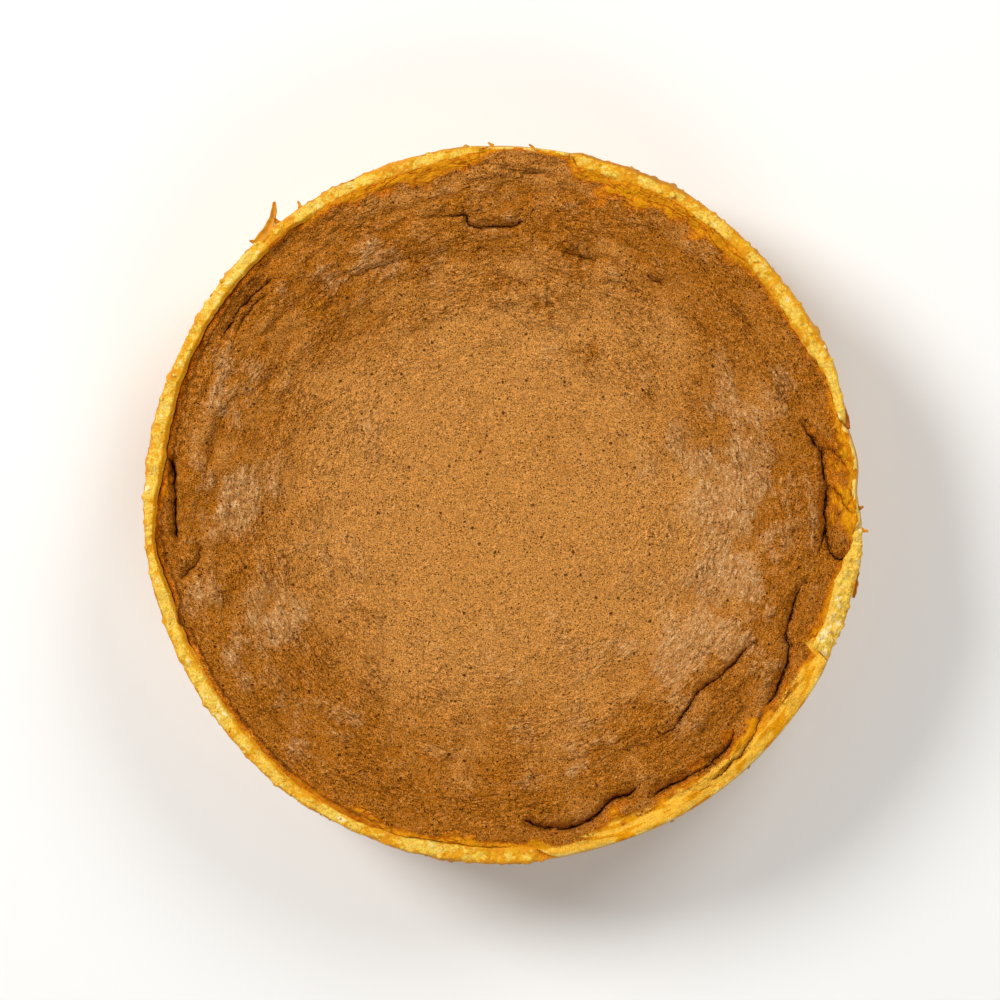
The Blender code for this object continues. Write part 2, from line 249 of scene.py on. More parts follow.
FOLDS = (
    # the right edge, and the lobe below it
    Fold(((16, 102.6), (12, 105.6), (9, 107.3), (4, 107.9), (0, 107.7), (-6, 107.2), (-10, 106.4)),
         3.0, 2.2, 2.2, 1.0, 1.0),
    Fold(((-4, 107.6), (-7.6, 109.6), (-9.4, 112.4), (-9.0, 115.6)), 0.9, 1.3, 1.2, 0.6, 0.3),
    Fold(((10, 108.0), (9.4, 111.0), (6.0, 115.4)), 0.7, 1.2, 0.8, 0.4, 0.5),
    Fold(((3.6, 109.0), (1.0, 112.6), (-1.6, 115.6)), 0.6, 1.2, 0.7, 0.4, 0.5),
    # down the right side into the lip
    Fold(((-13, 104.6), (-18, 102.5), (-24.5, 103.8), (-27, 106.8), (-31, 109.0), (-36, 110.6),
          (-39, 110.0)), 2.6, 2.0, 1.8, 1.0, 0.7),
    Fold(((-38, 110.2), (-42.5, 113.0), (-46, 114.5), (-51, 115.2), (-57, 115.6)),
         0.7, 1.2, 1.1, 0.3, 0.2),
    Fold(((-26, 98.0), (-30, 95.0), (-33.7, 93.4), (-38, 92.4), (-41, 91.4), (-43.6, 90.2),
          (-48, 91.6), (-53.3, 93.4), (-58, 92.6)), 1.6, 2.4, 1.3, 0.7, 0.0),
    Fold(((-43.7, 107.5), (-47.5, 110.4), (-52.3, 110.4), (-56.6, 109.6), (-61.2, 108.7),
          (-65.3, 109.6)), 2.2, 1.9, 1.7, 0.8, 0.9),
    Fold(((-64.5, 104.6), (-66, 105.0), (-71, 106.0), (-74, 108.6), (-79.6, 110.0),
          (-85.2, 107.2), (-87, 105.4)), 3.0, 2.0, 2.2, 1.2, 0.7),
    # the top
    Fold(((108, 99.6), (101, 97.9), (97.7, 97.6), (97.3, 94.4), (94.8, 93.3), (90, 92.9),
          (88, 93.7), (86.3, 95.2), (83.5, 94.0)), 1.5, 2.0, 1.5, 0.8, 0.0),
    Fold(((124, 92.0), (117, 89.3), (112.5, 88.4), (108, 87.4)), 0.9, 1.9, 0.5, 0.5, 0.0),
    Fold(((78, 87.6), (73, 87.0), (68.6, 87.4)), 0.7, 1.6, 0.7, 0.4, 0.0),
    Fold(((92, 76.6), (88, 75.4), (83, 73.0)), 0.5, 1.6, 0.5, 0.3, 0.0),
    Fold(((95, 67.6), (89, 64.6), (84, 61.0), (79.5, 57.6)), 0.6, 2.2, 0.4, 0.3, 0.0),
    Fold(((58.4, 91.0), (53.4, 90.8)), 0.6, 1.4, 0.9, 0.3, 0.0),
    Fold(((91, 112.8), (87, 110.8), (82.6, 111.8)), 0.35, 1.1, 0.5, 0.4, 0.3),
    # the left side
    Fold(((171.6, 114.6), (173.0, 112.0), (174.6, 110.6), (178, 109.8), (182, 109.9),
          (185.8, 109.6), (187.8, 108.7)), 2.2, 1.5, 2.4, 1.3, 0.4),
    Fold(((193.4, 111.4), (191.5, 106.9), (190.3, 103.5), (187.6, 102.1)), 1.0, 1.4, 0.9, 0.4),
    Fold(((150, 109.2), (145, 109.6), (140, 109.2), (135, 108.0)), 1.3, 1.6, 1.2, 0.8, 0.25),
    Fold(((147, 106.6), (142, 107.0), (138, 106.0)), 0.7, 1.2, 0.8, 0.4, 0.1),
    # smaller ones round the slope
    Fold(((24, 99.8), (21.2, 99.6)), 0.6, 1.3, 0.8, 0.3, 0.0),
    Fold(((40, 102.3), (35.2, 102.2)), 0.5, 1.3, 0.6, 0.3, 0.0),
    Fold(((-53, 93.6), (-59, 92.8), (-65, 90.0), (-72, 86.4)), 0.9, 2.2, 0.5, 0.5, 0.0),
    Fold(((-72, 88.6), (-79, 87.4)), 0.6, 1.6, 0.5, 0.3, 0.0),
    Fold(((-83, 93.2), (-90, 93.6)), 0.6, 1.7, 0.4, 0.3, 0.0),
    Fold(((214, 104), (221, 105.2), (229, 104.4)), 0.7, 2.0, 0.3, 0.4, 0.0),
    Fold(((160, 98.0), (166, 99.6), (172, 98.6)), 0.6, 2.0, 0.3, 0.3, 0.0),
)


class Shred(NamedTuple):
    """A shred or flake of skin, held at one end. Sizes are in millimetres, turns in degrees."""

    degrees: float
    radius: float
    length: float
    width: float
    heading: float          # from straight outward, anticlockwise
    sweep: float            # how far it bends round in plan
    lift: float             # above the level
    toast: float            # 0 golden to 1 brown
    height: float = -0.8    # of its held end above the crest of the rim


SHREDS = (
    Shred(133.8, 120.6, 16.4, 4.4, -101, 62, 1, 0.35, -0.7),
    Shred(133.2, 119.8, 3.0, 1.8, 40, -20, 2, 0.5, -0.8),
    Shred(128.6, 119.8, 3.0, 2.0, 30, -60, 2, 0.4, -0.8),
    Shred(40.7, 119.0, 2.3, 1.3, 12, 0, 2, 0.1),
    Shred(34.2, 119.4, 1.2, 1.0, 0, 0, 0, 0.4),
    Shred(28.9, 118.6, 2.0, 1.3, -10, 0, 0, 0.2),
    Shred(26.2, 118.6, 1.8, 1.2, 14, 0, 4, 0.2),
    Shred(45.6, 119.4, 1.3, 1.1, 0, 0, 0, 0.5),
    Shred(58.6, 119.8, 1.9, 2.8, 0, 0, -14, 0.3, -1.8),
    Shred(68.5, 120.2, 1.2, 2.2, 0, 0, -10, 0.9, -1.6),
    Shred(85.2, 119.2, 2.2, 1.0, 40, 30, 3, 0.5),
    Shred(91.6, 119.2, 2.6, 1.3, 38, 20, 3, 0.2),
    Shred(100.5, 119.6, 1.1, 1.2, 0, 0, 0, 0.3),
    Shred(114.9, 119.4, 1.5, 1.4, 0, 0, 0, 1.0),
    Shred(118.4, 119.4, 1.6, 1.1, -20, 0, 3, 0.3),
    Shred(124.9, 119.4, 3.6, 1.5, -60, 70, 2, 0.2),
    Shred(144.4, 120.2, 1.4, 1.1, 0, 0, 4, 0.2),
    Shred(163.0, 120.0, 1.1, 1.0, 10, 0, 0, 0.1),
    Shred(187.4, 120.3, 1.6, 1.1, 14, 0, 2, 0.3),
    Shred(211.0, 119.8, 1.2, 1.4, 0, 0, 0, 0.2),
    Shred(233.3, 120.4, 1.8, 2.4, 0, 0, -8, 0.2, -1.4),
    Shred(252.0, 119.8, 1.6, 1.3, -12, 0, 2, 0.1),
    Shred(259.2, 119.8, 1.9, 1.4, 8, 0, 2, 0.1),
    Shred(267.5, 119.8, 1.1, 1.2, 0, 0, 0, 0.1),
    Shred(12.4, 117.6, 10.0, 2.4, 84, 14, -2, 0.9, -1.8),
    Shred(350.0, 119.2, 10.4, 2.8, -78, -12, -3, 0.8, -1.4),
    Shred(344.2, 119.2, 3.4, 1.6, -40, 0, -8, 0.5, -1.8),
    Shred(359.4, 116.4, 3.7, 2.2, -16, 60, 5, 0.6, -1.2),
    Shred(355.9, 118.6, 3.3, 1.8, 8, -24, 2, -0.3, -1.2),
    Shred(2.4, 116.6, 2.4, 1.6, -70, 0, 0, 0.5, -1.2),
    Shred(79.4, 118.0, 5.2, 2.6, 86, 0, 3, 0.9, -0.5),
    Shred(337.2, 119.6, 3.2, 1.8, -60, 0, -10, 0.6, -2.2),
    Shred(313.0, 119.9, 1.4, 1.2, 10, 0, -6, 0.6, -1.6),
    Shred(298.0, 119.7, 1.4, 1.2, -10, 0, -8, 0.4, -2.0),
)


def linear(hex_colour, alpha=1.0):
    """An sRGB hex colour as the linear one that Blender's sockets take."""
    parts = [int(hex_colour[at:at + 2], 16) / 255.0 for at in (1, 3, 5)]
    return tuple(
        part / 12.92 if part <= 0.04045 else ((part + 0.055) / 1.055) ** 2.4 for part in parts
    ) + (alpha,)


def length_property(name, description, default):
    return FloatProperty(
        name=name, description=description, default=default, min=0.0, unit="LENGTH",
        subtype="DISTANCE", precision=5,
    )


def colour_property(name, description, hex_colour):
    return FloatVectorProperty(
        name=name, description=description, default=linear(hex_colour), size=4,
        min=0.0, max=1.0, subtype="COLOR",
    )


class CheesecakeSizes(bpy.types.PropertyGroup):
    """The sizes of the cake that a user would change."""

    tin_radius: length_property("Tin radius", "Inner radius of the tin it was baked in", 0.120)
    rim_height: length_property("Rim height", "From the base to the crest of the rim", 0.048)
    sink: length_property("Sink", "How far the middle has sunk below the skin's edge", 0.0056)
    step: length_property("Step", "How far the skin's edge lies below the rim", 0.0012)
    gap: length_property("Gap", "And how much further where it has shrunk from the curd", 0.0015)
    lump_height: length_property("Lump height", "Height of the rim's torn lumps", 0.0009)
    lump_push: length_property("Lump push", "How far the lumps bend the outline", 0.0004)
    curd_grain: length_property("Curd grain", "Height of the fine torn grains of curd", 0.00022)
    wave_height: length_property("Wave height", "Height of the wrinkles along the rim", 0.00072)
    ripple: length_property("Ripple", "Height of the small ripples of the skin", 0.00052)
    pore: length_property("Pore", "Width of a burst bubble in the skin", 0.0006)
    pore_spacing: length_property("Pore spacing", "Distance between two pores", 0.0026)
    grain: length_property("Grain", "Width of the skin's sandy grain", 0.0005)
    crumb: length_property("Crumb", "Width of a mean crumb of curd", 0.0008)
    crumbs: IntProperty(name="Crumbs", description="How many crumbs lie on the rim", default=140)


class CheesecakeColours(bpy.types.PropertyGroup):
    """The colours of the curd and its skin, from the palest to the most browned."""

    chalk: colour_property("Chalk", "Flakes of the freshest curd", "#F4E4AC")
    cream: colour_property("Cream", "Fresh torn curd", "#F1CC50")
    curd: colour_property("Curd", "Baked curd", "#E8A80E")
    hollow: colour_property("Hollow", "Between the lumps of curd", "#DA880C")
    wall: colour_property("Wall", "Curd set against the tin", "#D29A44")
    toast: colour_property("Toast", "Curd that met the hot tin", "#BC7A20")
    lip: colour_property("Lip", "Skin that rolled over the rim", "#F5BA3C")
    gold: colour_property("Gold", "Skin that browned the least", "#DE9206")
    amber: colour_property("Amber", "Skin opened by a fold", "#BC6808")
    # Painted shade laid in the creases of the golden skin
    painted_crease_shade: colour_property("Ember", "Creases in golden skin", "#B25200")
    # Painted shade beside the wide cracks of the skin
    painted_crack_shade: colour_property("Singed", "Skin along a wide crack", "#8A4A06")
    glint: colour_property("Glint", "Grains of skin that catch the light", "#E8C48C")
    flake: colour_property("Flake", "Thin flaky edge of the rolled skin", "#F3CE66")
    tan: colour_property("Tan", "Skin in the middle", "#C0803A")
    brown: colour_property("Brown", "Skin on the slope", "#A25F12")
    # A paler colour laid where the skin is glossy: a painted sheen
    sheen: colour_property("Sheen", "Skin under a film of fat", "#C69052")
    # Painted shade in the cracks, pores and shadowed wrinkle lines; also the dark hem line, the
    # scuff marks and the shreds' specks
    crack: colour_property("Crack", "Depth of a fold", "#3C1602")
    shred: colour_property("Shred", "Crisp shreds of skin", "#AC6206")
    floor: colour_property("Floor", "The plain floor of the stage", "#F4F3F0")


def smooth_step(low, high, value):
    share = np.clip((value - low) / (high - low), 0.0, 1.0)
    return share * share * (3.0 - 2.0 * share)


def degrees_apart(first, second):
    return (first - second + 180.0) % 360.0 - 180.0


def within_spans(degrees, spans, fade=SPAN_FADE):
    """1 inside any of some spans of angles, fading to 0 past their ends."""
    inside = np.zeros_like(degrees)
    for start, end in spans:
        past = np.abs(degrees_apart(degrees, (start + end) / 2.0)) - (end - start) / 2.0
        inside = np.maximum(inside, 1.0 - smooth_step(0.0, fade, past))
    return inside


def eased(degrees, stops):
    """A value known at some angles, eased from each to the next."""
    angles, values = np.array(stops + ((stops[0][0] + 360.0, stops[0][1]),), float).T
    turned = (degrees - angles[0]) % 360.0 + angles[0]
    at = np.clip(np.searchsorted(angles, turned, side="right") - 1, 0, len(values) - 2)
    share = smooth_step(angles[at], angles[at + 1], turned)
    return values[at] + (values[at + 1] - values[at]) * share


def bumps(points, size, octaves=1, seed=0.0, lasting=0.5):
    """Soft noise about 0 at each point, whose widest lumps are about size across."""
    total = np.zeros(len(points))
    for octave in range(octaves):
        places = (points * (2.03 ** octave / size) + seed + 17.3 * octave).tolist()
        total += lasting ** octave * np.fromiter(map(noise.noise, places), float, len(places))
    return total


def wandering(points, size, shift):
    """A shift in plan that bends a pattern out of its straight lines."""
    moved = np.zeros_like(points)
    for axis in range(2):
        moved[:, axis] = shift * bumps(points, size, 1, WANDER_SEED + 6.3 * axis)
    return moved


def drawn_round(points):
    """Places in which a pattern comes out drawn round the cake, as its wrinkles are."""
    return np.column_stack([DRAWN_OUT * points[:, :2], np.hypot(points[:, 0], points[:, 1])])


def spots(points, rows):
    """The strongest of some round spots at each place, from rows of the form of SHEENS."""
    strongest = np.zeros(len(points))
    for at_degrees, at_radius, reach, strength in rows:
        middle = plan_of(at_degrees, at_radius * MM)
        away = np.hypot(points[:, 0] - middle[0], points[:, 1] - middle[1]) / (reach * MM)
        spot = strength * np.exp(-away ** 2)
        strongest = np.where(np.abs(spot) > np.abs(strongest), spot, strongest)
    return strongest


def lumps_of(points, size, octaves, seed):
    """Round lumps with sharp creases between them, from 0 in a crease to about 1."""
    total = np.zeros(len(points))
    for octave in range(octaves):
        layer = np.abs(bumps(points, size / 2.1 ** octave, 1, seed + 5.7 * octave))
        total += 0.5 ** octave * layer
    return 1.6 * total


def torn(degrees):
    """1 where the rim is torn curd, 0 where the skin rolls over it."""
    middle = sum(LIP_SPAN) / 2.0
    upper = smooth_step(-MIDDLE_FADE, MIDDLE_FADE, degrees_apart(degrees, middle))
    fade = TEAR_FADE + (BROKEN_FADE - TEAR_FADE) * upper
    rolled = within_spans(degrees, (LIP_SPAN,), fade)
    return 1.0 - np.maximum(rolled, within_spans(degrees, BARE_SPANS, BARE_FADE))


def outline_radius(sizes, degrees, height=None):
    """The cake's radius, whose dents and swellings ease out down the wall."""
    up = 1.0 if height is None else height / sizes.rim_height
    share = DENT_AT_BASE + (1.0 - DENT_AT_BASE) * up
    waves = np.zeros_like(degrees)
    for middle, half_width, depth in OUTLINE_WAVES:
        waves += depth * np.exp(-((degrees_apart(degrees, middle) / half_width) ** 2))
    return sizes.tin_radius + share * waves * MM


def polar(plan):
    """Radius and degrees of places in plan."""
    return np.hypot(plan[:, 0], plan[:, 1]), np.degrees(np.arctan2(plan[:, 1], plan[:, 0]))


def plan_of(degrees, radius):
    turn = np.radians(degrees)
    return np.stack([radius * np.cos(turn), radius * np.sin(turn)], axis=-1)


def flat_points(plan):
    return np.column_stack([plan, np.zeros(len(plan))])


def fold_route(route):
    """A fold's route in plan, as short straight runs of a curve through its points."""
    places = [Vector(plan_of(degrees, radius * MM)) for degrees, radius in route]
    ends = [places[0]] + places + [places[-1]]
    points = []
    for before, start, end, after in zip(ends, ends[1:], ends[2:], ends[3:]):
        leave = start + (end - before) / 6.0
        arrive = end - (after - start) / 6.0
        points += geometry.interpolate_bezier(start, leave, arrive, end, FOLD_STEPS + 1)[:-1]
    return np.array([tuple(point.xy) for point in points + [places[-1]]])


def beside_fold(plan, route):
    """How far each place is from a route, 1 if it lies outward of it, and its share along it."""
    nearest = np.full(len(plan), np.inf)
    outward, along = np.zeros(len(plan)), np.zeros(len(plan))
    for index, (start, run) in enumerate(zip(route, np.diff(route, axis=0))):
        away = plan - start
        share = np.clip(away @ run / (run @ run), 0.0, 1.0)
        away -= share[:, None] * run
        distance = np.hypot(away[:, 0], away[:, 1])
        nearer = distance < nearest
        nearest[nearer] = distance[nearer]
        outward[nearer] = ((away * plan).sum(axis=1) > 0.0)[nearer]
        along[nearer] = (index + share[nearer]) / (len(route) - 1)
    return nearest, outward, along


class Relief(NamedTuple):
    """What the folds do to the skin at each place: height, then masks from 0 to 1."""

    height: np.ndarray
    seam: np.ndarray        # 0.5 on a crack, more outward of it and less inward
    split: np.ndarray       # how open the crack is
    valley: np.ndarray
    amber: np.ndarray
    crumple: np.ndarray


def folded(plan):
    """The relief of all folds at places in plan."""
    relief = Relief(*(np.zeros(len(plan)) for _ in Relief._fields))
    points = flat_points(plan)
    wandered = plan + sum(wandering(points, size, shift)[:, :2] for size, shift in FOLDS_WANDER)
    broken = 0.85 + 0.9 * bumps(points, *CRACK_BREAKS)
    nearest = np.full(len(plan), np.inf)
    for fold in FOLDS:
        route = fold_route(fold.route)
        reach = (6.0 * fold.width + 4.0) * MM
        near = np.all((wandered > route.min(axis=0) - reach)
                      & (wandered < route.max(axis=0) + reach), axis=1)
        distance, outward, along = beside_fold(wandered[near], route)
        fade = smooth_step(0.0, FOLD_FADE, along) * smooth_step(0.0, FOLD_FADE, 1.0 - along)
        wide = distance / (fold.width * MM)
        groove = np.exp(-wide ** 2)
        split = np.exp(-(distance / CRACK_WIDTH) ** 2) * np.clip(broken[near], 0.0, 1.3)
        hump = outward * np.exp(-((wide - RIDGE_OFFSET) / RIDGE_WIDTH) ** 2)
        run_out = fade ** 0.5
        closer = distance < nearest[near]
        at = np.flatnonzero(near)[closer]
        nearest[at] = distance[closer]
        side = np.clip(distance[closer] / SEAM_REACH, 0.0, 1.0) * (2.0 * outward[closer] - 1.0)
        relief.seam[at] = 0.5 + 0.5 * side
        relief.height[near] += MM * (
            fade * (fold.ridge * hump - fold.depth * groove) - run_out * fold.crack * split
        )
        opened = run_out * min(1.0, 0.35 + 0.5 * fold.crack) * np.clip(
            0.45 + broken[near], 0.0, 1.0)
        opened *= 1.0 - smooth_step(0.4 * SEAM_REACH, 0.9 * SEAM_REACH, distance)
        valley = fade * groove * min(1.0, fold.depth / 2.4)
        amber = run_out * fold.amber * outward * (1.0 - smooth_step(0.8 * MM, 5.0 * MM, distance))
        for mask, value in ((relief.split, opened), (relief.valley, valley), (relief.amber, amber)):
            mask[near] = np.maximum(mask[near], value)
    return relief


def rim_inner_radius(sizes, degrees):
    """Where the skin meets the rim, torn or rolled."""
    return outline_radius(sizes, degrees) - eased(degrees, RIM_WIDTHS) * MM


def ragged(sizes, degrees):
    """How far the torn edge of the skin strays in or out at each angle."""
    ring = flat_points(plan_of(degrees, sizes.tin_radius))
    return torn(degrees) * RAGGEDNESS * bumps(ring, *RAGGED_EDGE)


def skin_edge_radius(sizes, degrees):
    """Where the skin ends: at torn curd, or near the outline where it rolls over the rim."""
    tattered = torn(degrees)
    inner = rim_inner_radius(sizes, degrees) + ragged(sizes, degrees)
    outer = outline_radius(sizes, degrees) - BARE_MARGIN
    for middle, reach, length in SKIN_LOBES:
        inner += length * MM * np.exp(-(degrees_apart(degrees, middle) / reach) ** 4)
    return outer + (inner - outer) * tattered


def skin_form(sizes, radius, degrees, inner):
    """Height of the smooth skin, and from 0 to 1 how far it has rolled over the rim."""
    rolled = 1.0 - torn(degrees)
    share = radius / inner
    slope = smooth_step(FLAT_TO, SLOPE_TO, share) ** SLOPE_ROUNDNESS
    height = sizes.rim_height - sizes.step - sizes.sink * (1.0 - slope)
    rising = within_spans(degrees, EASED_SPANS + BARE_SPANS)
    change = EASED_SHARE * sizes.step * rising - sizes.gap * within_spans(degrees, GAP_SPANS)
    height += change * smooth_step(EASE_FROM, 1.0, share)
    crest = outline_radius(sizes, degrees) - RIM_ROUND
    over_rim = np.clip((radius - inner) / np.maximum(crest - inner, MM), 0.0, 1.0)
    height += (sizes.step - change) * np.sin(over_rim * math.pi / 2.0) * rolled
    past = np.clip(radius - crest, 0.0, RIM_ROUND)
    height -= (RIM_ROUND - np.sqrt(RIM_ROUND ** 2 - past ** 2)) * rolled
    return height, over_rim * rolled


def crumpling(points, degrees, sloping, relief):
    """How much the skin has crumpled at each place, before it rolls over the rim."""
    uneven = np.clip(0.55 + 1.5 * bumps(points, *UNEVENNESS), 0.05, 1.2)
    uneven = np.maximum(uneven, within_spans(degrees, WRINKLED_SPANS, WIDE_FADE))
    crumpled = 0.18 + 0.87 * sloping * uneven + 0.5 * relief.amber
    crumpled += 0.8 * spots(points, SCUFFS) + 0.35 * spots(points, SHEENS)
    return np.clip(crumpled, 0.0, 1.3)


def skin_surface(sizes, plan):
    """Height of the skin's upper surface in plan, and the relief of its folds."""
    radius, degrees = polar(plan)
    points = flat_points(plan)
    inner = rim_inner_radius(sizes, degrees)
    height, rolled_over = skin_form(sizes, radius, degrees, inner)
    relief = folded(plan)
    sloping = smooth_step(FLAT_TO, WAVES_FULL_FROM, radius / inner)
    turns = sizes.tin_radius / WAVE_LENGTH
    around = np.column_stack([plan_of(degrees, turns), radius / WAVE_SPACING])
    height += SWELL_HEIGHT * bumps(points, *SWELLS)
    height += 0.8 * sizes.wave_height * sloping * bumps(around, 1.0)
    crumpled = crumpling(points, degrees, sloping, relief) * (1.0 - 0.45 * rolled_over)
    bent = points + wandering(points, *WRINKLES_WANDER)
    wrinkles = 1.25 * lumps_of(drawn_round(bent), *WRINKLES) - 0.5
    crumples = lumps_of(bent, *CRUMPLES) - 0.5
    puckers = bumps(points, *PUCKERS)
    relief.crumple[:] = np.clip(crumpled, 0.25, 1.0) * (
        0.9 * wrinkles + 0.4 * crumples + 0.6 * puckers
    )
    height += sizes.ripple * crumpled * (1.7 * wrinkles + 0.6 * crumples + 0.4 * puckers)
    height += 0.35 * sizes.ripple * bumps(points, *RIPPLES)
    height += relief.height * (1.0 - 0.7 * rolled_over)
    climbing = smooth_step(-0.8 * MM, 0.7 * MM, radius - inner)
    for middle, reach, _ in SKIN_LOBES:
        apart = degrees_apart(degrees, middle) / reach
        height += (sizes.step + LOBE_LIFT) * climbing * np.exp(-apart ** 4)
    return height, relief


# ---- making meshes -------------------------------------------------------------------------


def deselect_all():
    for item in bpy.context.view_layer.objects:
        item.select_set(False)


def named(name):
    piece = bpy.context.object
    piece.name = piece.data.name = name
    return piece


def points_of(mesh):
    points = np.empty(3 * len(mesh.vertices), np.float32)
    mesh.vertices.foreach_get("co", points)
    return points.reshape(-1, 3).astype(float)


def move_points(mesh, points):
    mesh.vertices.foreach_set("co", np.ascontiguousarray(points, np.float32).ravel())
    mesh.update()


def add_masks(mesh, masks):
    """Stores values from 0 to 1 at each point of a mesh, by name, for its material."""
    for name, values in masks.items():
        layer = mesh.attributes.new(name, "FLOAT", "POINT")
        layer.data.foreach_set("value", np.clip(values, 0.0, 1.0).astype(np.float32))


def finish_piece(piece, material):
    """Shades a piece, gives it its material, and ties it to the cake's one body."""
    piece.data.materials.append(material)
    piece.data.shade_smooth()
    deselect_all()
    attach(piece, "root")


def curd_section(sizes):
    """The curd's half section, from under the skin over the rim and down to the base."""
    tin, rim = sizes.tin_radius, sizes.rim_height
    inner, crest = tin - RIM_WIDTH, tin - TORN_ROUND
    points = [(inner - 5.0 * MM, rim - 9.0 * MM), (inner - 2.0 * MM, rim - 8.4 * MM)]
    for share in np.linspace(0.0, 1.0, 9):      # up behind the skin's edge
        points.append((inner - (0.5 - 0.4 * share) * MM, rim - (7.5 - 6.3 * share) * MM))
    for share in np.linspace(0.0, 1.0, 13):     # across the torn rim
        lift = math.sin(min(1.0, TORN_STEEPNESS * share) * math.pi / 2.0)
        points.append((inner + (crest - inner) * share, rim - sizes.step * (1.0 - lift)))
    for turn in np.linspace(0.0, math.pi / 2.0, 13)[1:]:
        out, down = TORN_ROUND * math.sin(turn), TORN_ROUND * (1.0 - math.cos(turn))
        points.append((crest + out, rim - down))
    top = rim - TORN_ROUND
    for share in np.linspace(0.0, 1.0, 39)[1:]:     # down the wall
        bulge = WALL_BULGE * math.sin(share * math.pi)
        points.append((tin + bulge, top + (BASE_ROUND - top) * share))
    for turn in np.linspace(0.0, math.pi / 2.0, 4)[1:]:
        back, down = BASE_ROUND * (1.0 - math.cos(turn)), BASE_ROUND * math.sin(turn)
        points.append((tin - back, BASE_ROUND - down))
    points.append((tin - 8.0 * MM, 0.0))
    return points


def spin_section(points, steps):
    """A section, drawn point by point from one corner, spun once about the upright axis."""
    deselect_all()
    bpy.ops.mesh.primitive_plane_add(size=MM, location=(0.0, 0.0, 0.0))
    bpy.ops.object.mode_set(mode="EDIT")
    bpy.ops.mesh.select_all(action="SELECT")
    bpy.ops.mesh.merge(type="CENTER")
    first = Vector((points[0][0], 0.0, points[0][1]))
    bpy.ops.transform.translate(value=first)
    for before, after in zip(points, points[1:]):
        step = (after[0] - before[0], 0.0, after[1] - before[1])
        bpy.ops.mesh.extrude_vertices_move(TRANSFORM_OT_translate={"value": step})
    bpy.ops.mesh.select_all(action="SELECT")
    bpy.ops.mesh.spin(steps=steps, angle=math.tau, center=(0.0, 0.0, 0.0), axis=(0.0, 0.0, 1.0))
    bpy.ops.mesh.select_all(action="SELECT")
    bpy.ops.mesh.remove_doubles(threshold=TINY)
    bpy.ops.mesh.fill_holes(sides=0)
    bpy.ops.mesh.select_all(action="SELECT")
    bpy.ops.mesh.normals_make_consistent(inside=False)
    bpy.ops.object.mode_set(mode="OBJECT")


def place_curd(sizes, spun, across, on_wall, on_top):
    """The radius of each point of the spun curd in this cake's outline and rim."""
    spun_radius, degrees = polar(spun[:, :2])
    height, tattered = spun[:, 2], torn(degrees)
    coarse = tattered * bumps(spun, *RIM_LUMPS)
    edge = outline_radius(sizes, degrees) + sizes.lump_push * coarse
    gap, lap = within_spans(degrees, GAP_SPANS), within_spans(degrees, EASED_SPANS)
    inner = rim_inner_radius(sizes, degrees) + ragged(sizes, degrees)
    inner += (0.8 * gap - 0.4 * lap - 0.35) * tattered * MM
    up_wall = smooth_step(LUMPS_FROM, 1.0, height / sizes.rim_height)
    bend = WALL_WAVE * bumps(spun, *WALL_WAVES) + sizes.lump_push * coarse * up_wall
    radius = np.where(
        on_wall, spun_radius + outline_radius(sizes, degrees, height) - sizes.tin_radius + bend,
        np.where(on_top, inner + (edge - inner) * across,
                 spun_radius + inner - (sizes.tin_radius - RIM_WIDTH)),
    )
    lumps = np.where(on_top, RIM_LIFT, up_wall) * sizes.lump_height * coarse
    return radius, lumps


def tear_curd(sizes, spun):
    """Moves the spun curd to this cake's outline and tears its rim. Returns points and masks."""
    spun_radius, degrees = polar(spun[:, :2])
    height, tattered = spun[:, 2], torn(degrees)
    spun_inner = sizes.tin_radius - RIM_WIDTH
    across, up = (spun_radius - spun_inner) / RIM_WIDTH, height / sizes.rim_height
    on_wall = (height < sizes.rim_height - TORN_ROUND - TINY) & (spun_radius > spun_inner + MM)
    on_top = ~on_wall & (spun_radius >= spun_inner - 0.2 * MM)
    radius, rise = place_curd(sizes, spun, across, on_wall, on_top)
    placed = np.column_stack([plan_of(degrees, radius), height])
    grains = lumps_of(placed + wandering(placed, *GRAINS_WANDER), *CURD_GRAINS) - 0.45
    tears = bumps(placed, *CURD_TEARS)
    across_lines = np.column_stack([
        plan_of(degrees, sizes.tin_radius), FIBRE_SHARE * radius,
    ]) + 0.4 * wandering(placed, *FIBRES_WANDER)
    fibres = lumps_of(across_lines, *CURD_FIBRES) - 0.4
    teeth = tattered * smooth_step(0.55, 0.95, across) * smooth_step(0.80, 0.95, up) * MM * (
        0.15 * bumps(placed, *EDGE_NICKS)
        + 1.5 * np.maximum(bumps(placed, *EDGE_TEETH) - 0.24, 0.0)
    )
    rough = tattered * smooth_step(0.72, 0.97, up) * sizes.curd_grain
    crown = np.sin(np.clip(across, 0.0, 1.0) * math.pi) ** 0.5
    flaky = 1.0 + 2.2 * within_spans(degrees, FLAKY_SPANS, FLAKY_FADE)
    rise += rough * flaky * (grains + 0.5 * tears + 1.3 * fibres) * (0.5 + 0.9 * crown)
    covered = (1.0 - tattered) * smooth_step(0.85, 0.95, up)
    rise -= covered * (1.4 + 7.0 * np.clip(1.0 - across, 0.0, 1.0)) * MM
    push = 0.55 * rough * (grains + tears) - 0.5 * MM * covered + teeth
    off_base = height > TINY
    plan = plan_of(degrees, radius + np.where(off_base, push, 0.0))
    moved = np.column_stack([plan, height + np.where(off_base, rise, 0.0)])
    return moved, curd_masks(sizes, moved, degrees, across, 0.4 * grains + 0.3 * tears, on_wall)


